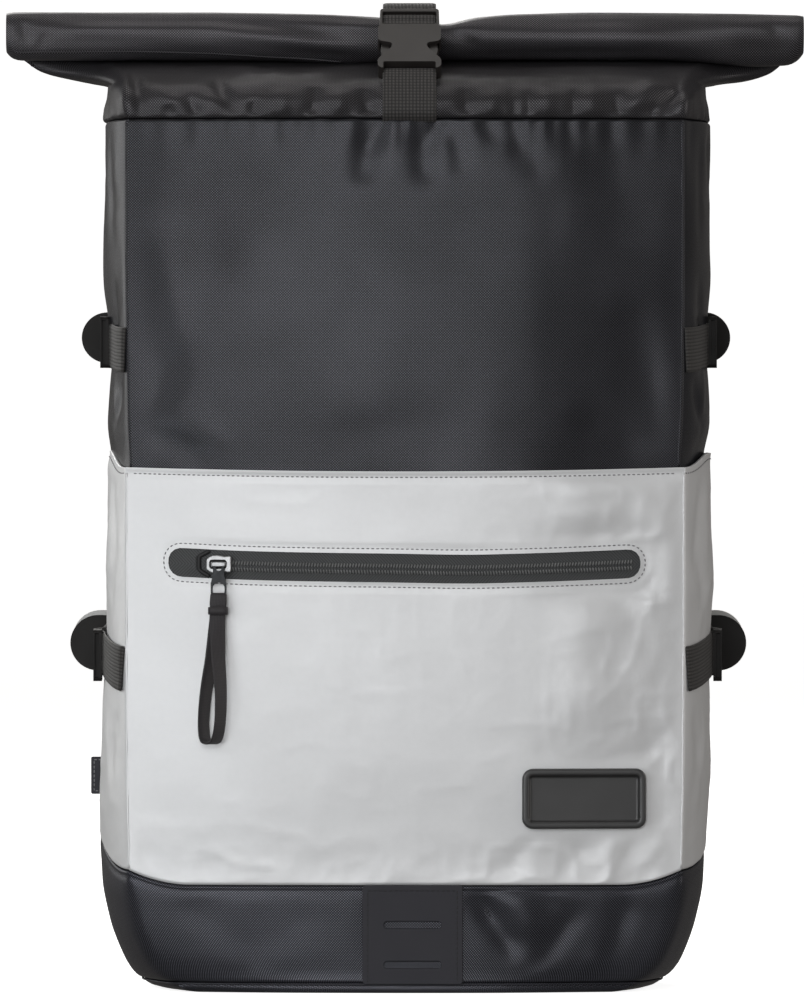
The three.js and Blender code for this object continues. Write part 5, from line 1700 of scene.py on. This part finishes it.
def makeBackPanel():
    share = (edgeSpaced(-127, 127, backPad["step"]) / 127 + 1)[None] / 2
    z = edgeSpaced(bodyFoot, bodyTop - 0.2, backPad["step"])[:, None]
    p = backAt(share, z, 0)
    toSide = 254 * np.minimum(share, 1 - share)
    pad = smoothStep(toSide, 4, 26) * smoothStep(z, 82, 104) * smoothStep(bodyTop - z, 2, 22)
    channel = np.exp(-(((toSide - 66) / 3.5) ** 2)) * smoothStep(z, 96, 112) * smoothStep(bodyTop - z, 12, 26)
    soft = 0.5 * crumple(p, [(50, 0.8, 0.0), (20, 0.3, 0.1)], 61)
    p[..., 1] += (backPad["crown"] + soft) * pad - 2.2 * channel * pad
    p[..., 1] += turnIn(toSide, 1.5) + turnIn(bodyTop - z, 1.8)
    panel = sewSheet("back_panel_pad", p, spread(p[..., 0], z), backPad["thick"],
                     padMesh, "padded_cloth", "back_panel")


shoulder = {"voxel": 4.0, "shrink": 1.2, "pressure": 4.0, "cap": 3.0, "frames": 20, "binding": 1.5}
shoulderLine = [  # (x, y, z) down the middle of the right pad
    (40, 69.6, 398), (41, 75, 392), (44, 90, 374), (49, 104, 336), (56, 108, 290), (64, 104, 240),
    (72, 95, 194), (75, 91, 178)]
strapTail = [(73.6, 88.7, 187), (75, 87.5, 178.8), (76.8, 85.8, 168), (81, 81, 144), (90, 72.4, 98),
             (97, 66.4, 70), (100, 63.5, 50)]


def swellCushion(name, node):
    # a remeshed copy of the solid, blown up a little as cloth
    piece = bpy.data.objects.new(name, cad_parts[node].data.copy())
    scene.collection.objects.link(piece)
    onlySelect(piece)
    bpy.ops.object.mode_set(mode="EDIT")
    bpy.ops.mesh.select_all(action="SELECT")
    bpy.ops.mesh.remove_doubles(threshold=1e-6)
    bpy.ops.object.mode_set(mode="OBJECT")
    applyModifier(piece, "REMESH", mode="VOXEL", voxel_size=shoulder["voxel"] * mm)
    normals = np.array([v.normal for v in piece.data.vertices])
    solid = np.array([v.co for v in piece.data.vertices])
    start = solid - normals * shoulder["shrink"] * mm
    piece.data.vertices.foreach_set("co", start.ravel())
    cloth = piece.modifiers.new("swell", "CLOTH")
    cloth.settings.use_pressure = True
    cloth.settings.uniform_pressure_force = shoulder["pressure"]
    cloth.settings.effector_weights.gravity = 0
    for now in range(1, shoulder["frames"] + 1):
        scene.frame_set(now)
    bpy.ops.object.modifier_apply(modifier=cloth.name)
    scene.frame_set(1)
    moved = np.array([v.co for v in piece.data.vertices]) - start
    far = np.linalg.norm(moved, axis=1, keepdims=True)
    start = start + moved * np.minimum(1, shoulder["cap"] * mm / np.maximum(far, 1e-9))
    z = solid[:, 2:] / mm
    # the sewn ends stay where they are
    free = smoothStep(z - z.min(), 2, 24) * smoothStep(z.max() - z, 6, 30)
    piece.data.vertices.foreach_set("co", (solid + (start - solid) * free).ravel())
    applyModifier(piece, "SUBSURF", levels=1, render_levels=1)
    layer = piece.data.uv_layers.new(name="cloth")
    co = np.array([v.co for v in piece.data.vertices])
    corners = np.array([l.vertex_index for l in piece.data.loops])
    layer.data.foreach_set("uv", (co[corners][:, [0, 2]] / mm).ravel())
    piece.data.polygons.foreach_set("use_smooth", [True] * len(piece.data.polygons))
    return piece


def padEdge(pad, path, edge):
    # the pad's own outline beside its middle line
    points = np.array([v.co for v in pad.data.vertices]) / mm
    heading = np.gradient(path, axis=0)
    heading = heading / np.linalg.norm(heading, axis=1, keepdims=True)
    line = []
    for spot, along in zip(path, heading):
        near = points[(np.abs((points - spot) @ along) < 3) & (np.linalg.norm(points - spot, axis=1) < 45)]
        line.append(near[np.argsort(edge * near[:, 0])[-8:]].mean(0))
    line = np.array(line)
    for _ in range(10):
        line[1:-1] = (line[:-2] + 2 * line[1:-1] + line[2:]) / 4
    return line - (edge * 0.5, 0, 0)


def makeShoulderStrap(side, sign):
    pad = swellCushion(f"shoulder_pad_{side}_cushion", f"shoulder_pad_{side}")
    finishPiece(pad, padMesh, "padded_cloth", f"shoulder_pad_{side}")
    middle = splinePath([(sign * x, y, z) for x, y, z in shoulderLine], 3)[1:-1]
    for edge in (-1, 1):
        path = padEdge(pad, middle, edge)
        binding = beadAlong(f"shoulder_binding_{side}_{'inner' if edge * sign < 0 else 'outer'}", path,
                            shoulder["binding"])
        finishPiece(binding, collarNylonPaintedLight, "padded_cloth")
    path = splinePath([(sign * x, y, z) for x, y, z in strapTail], 1.4)
    makeStrap(f"strap_tail_{side}_web", path, (1, 0, 0), webbing["wide"], f"strap_tail_{side}")


makeBackPanel()
for side, sign in (("left", -1), ("right", 1)):
    makeShoulderStrap(side, sign)
print("back and shoulder straps padded")

startHand()
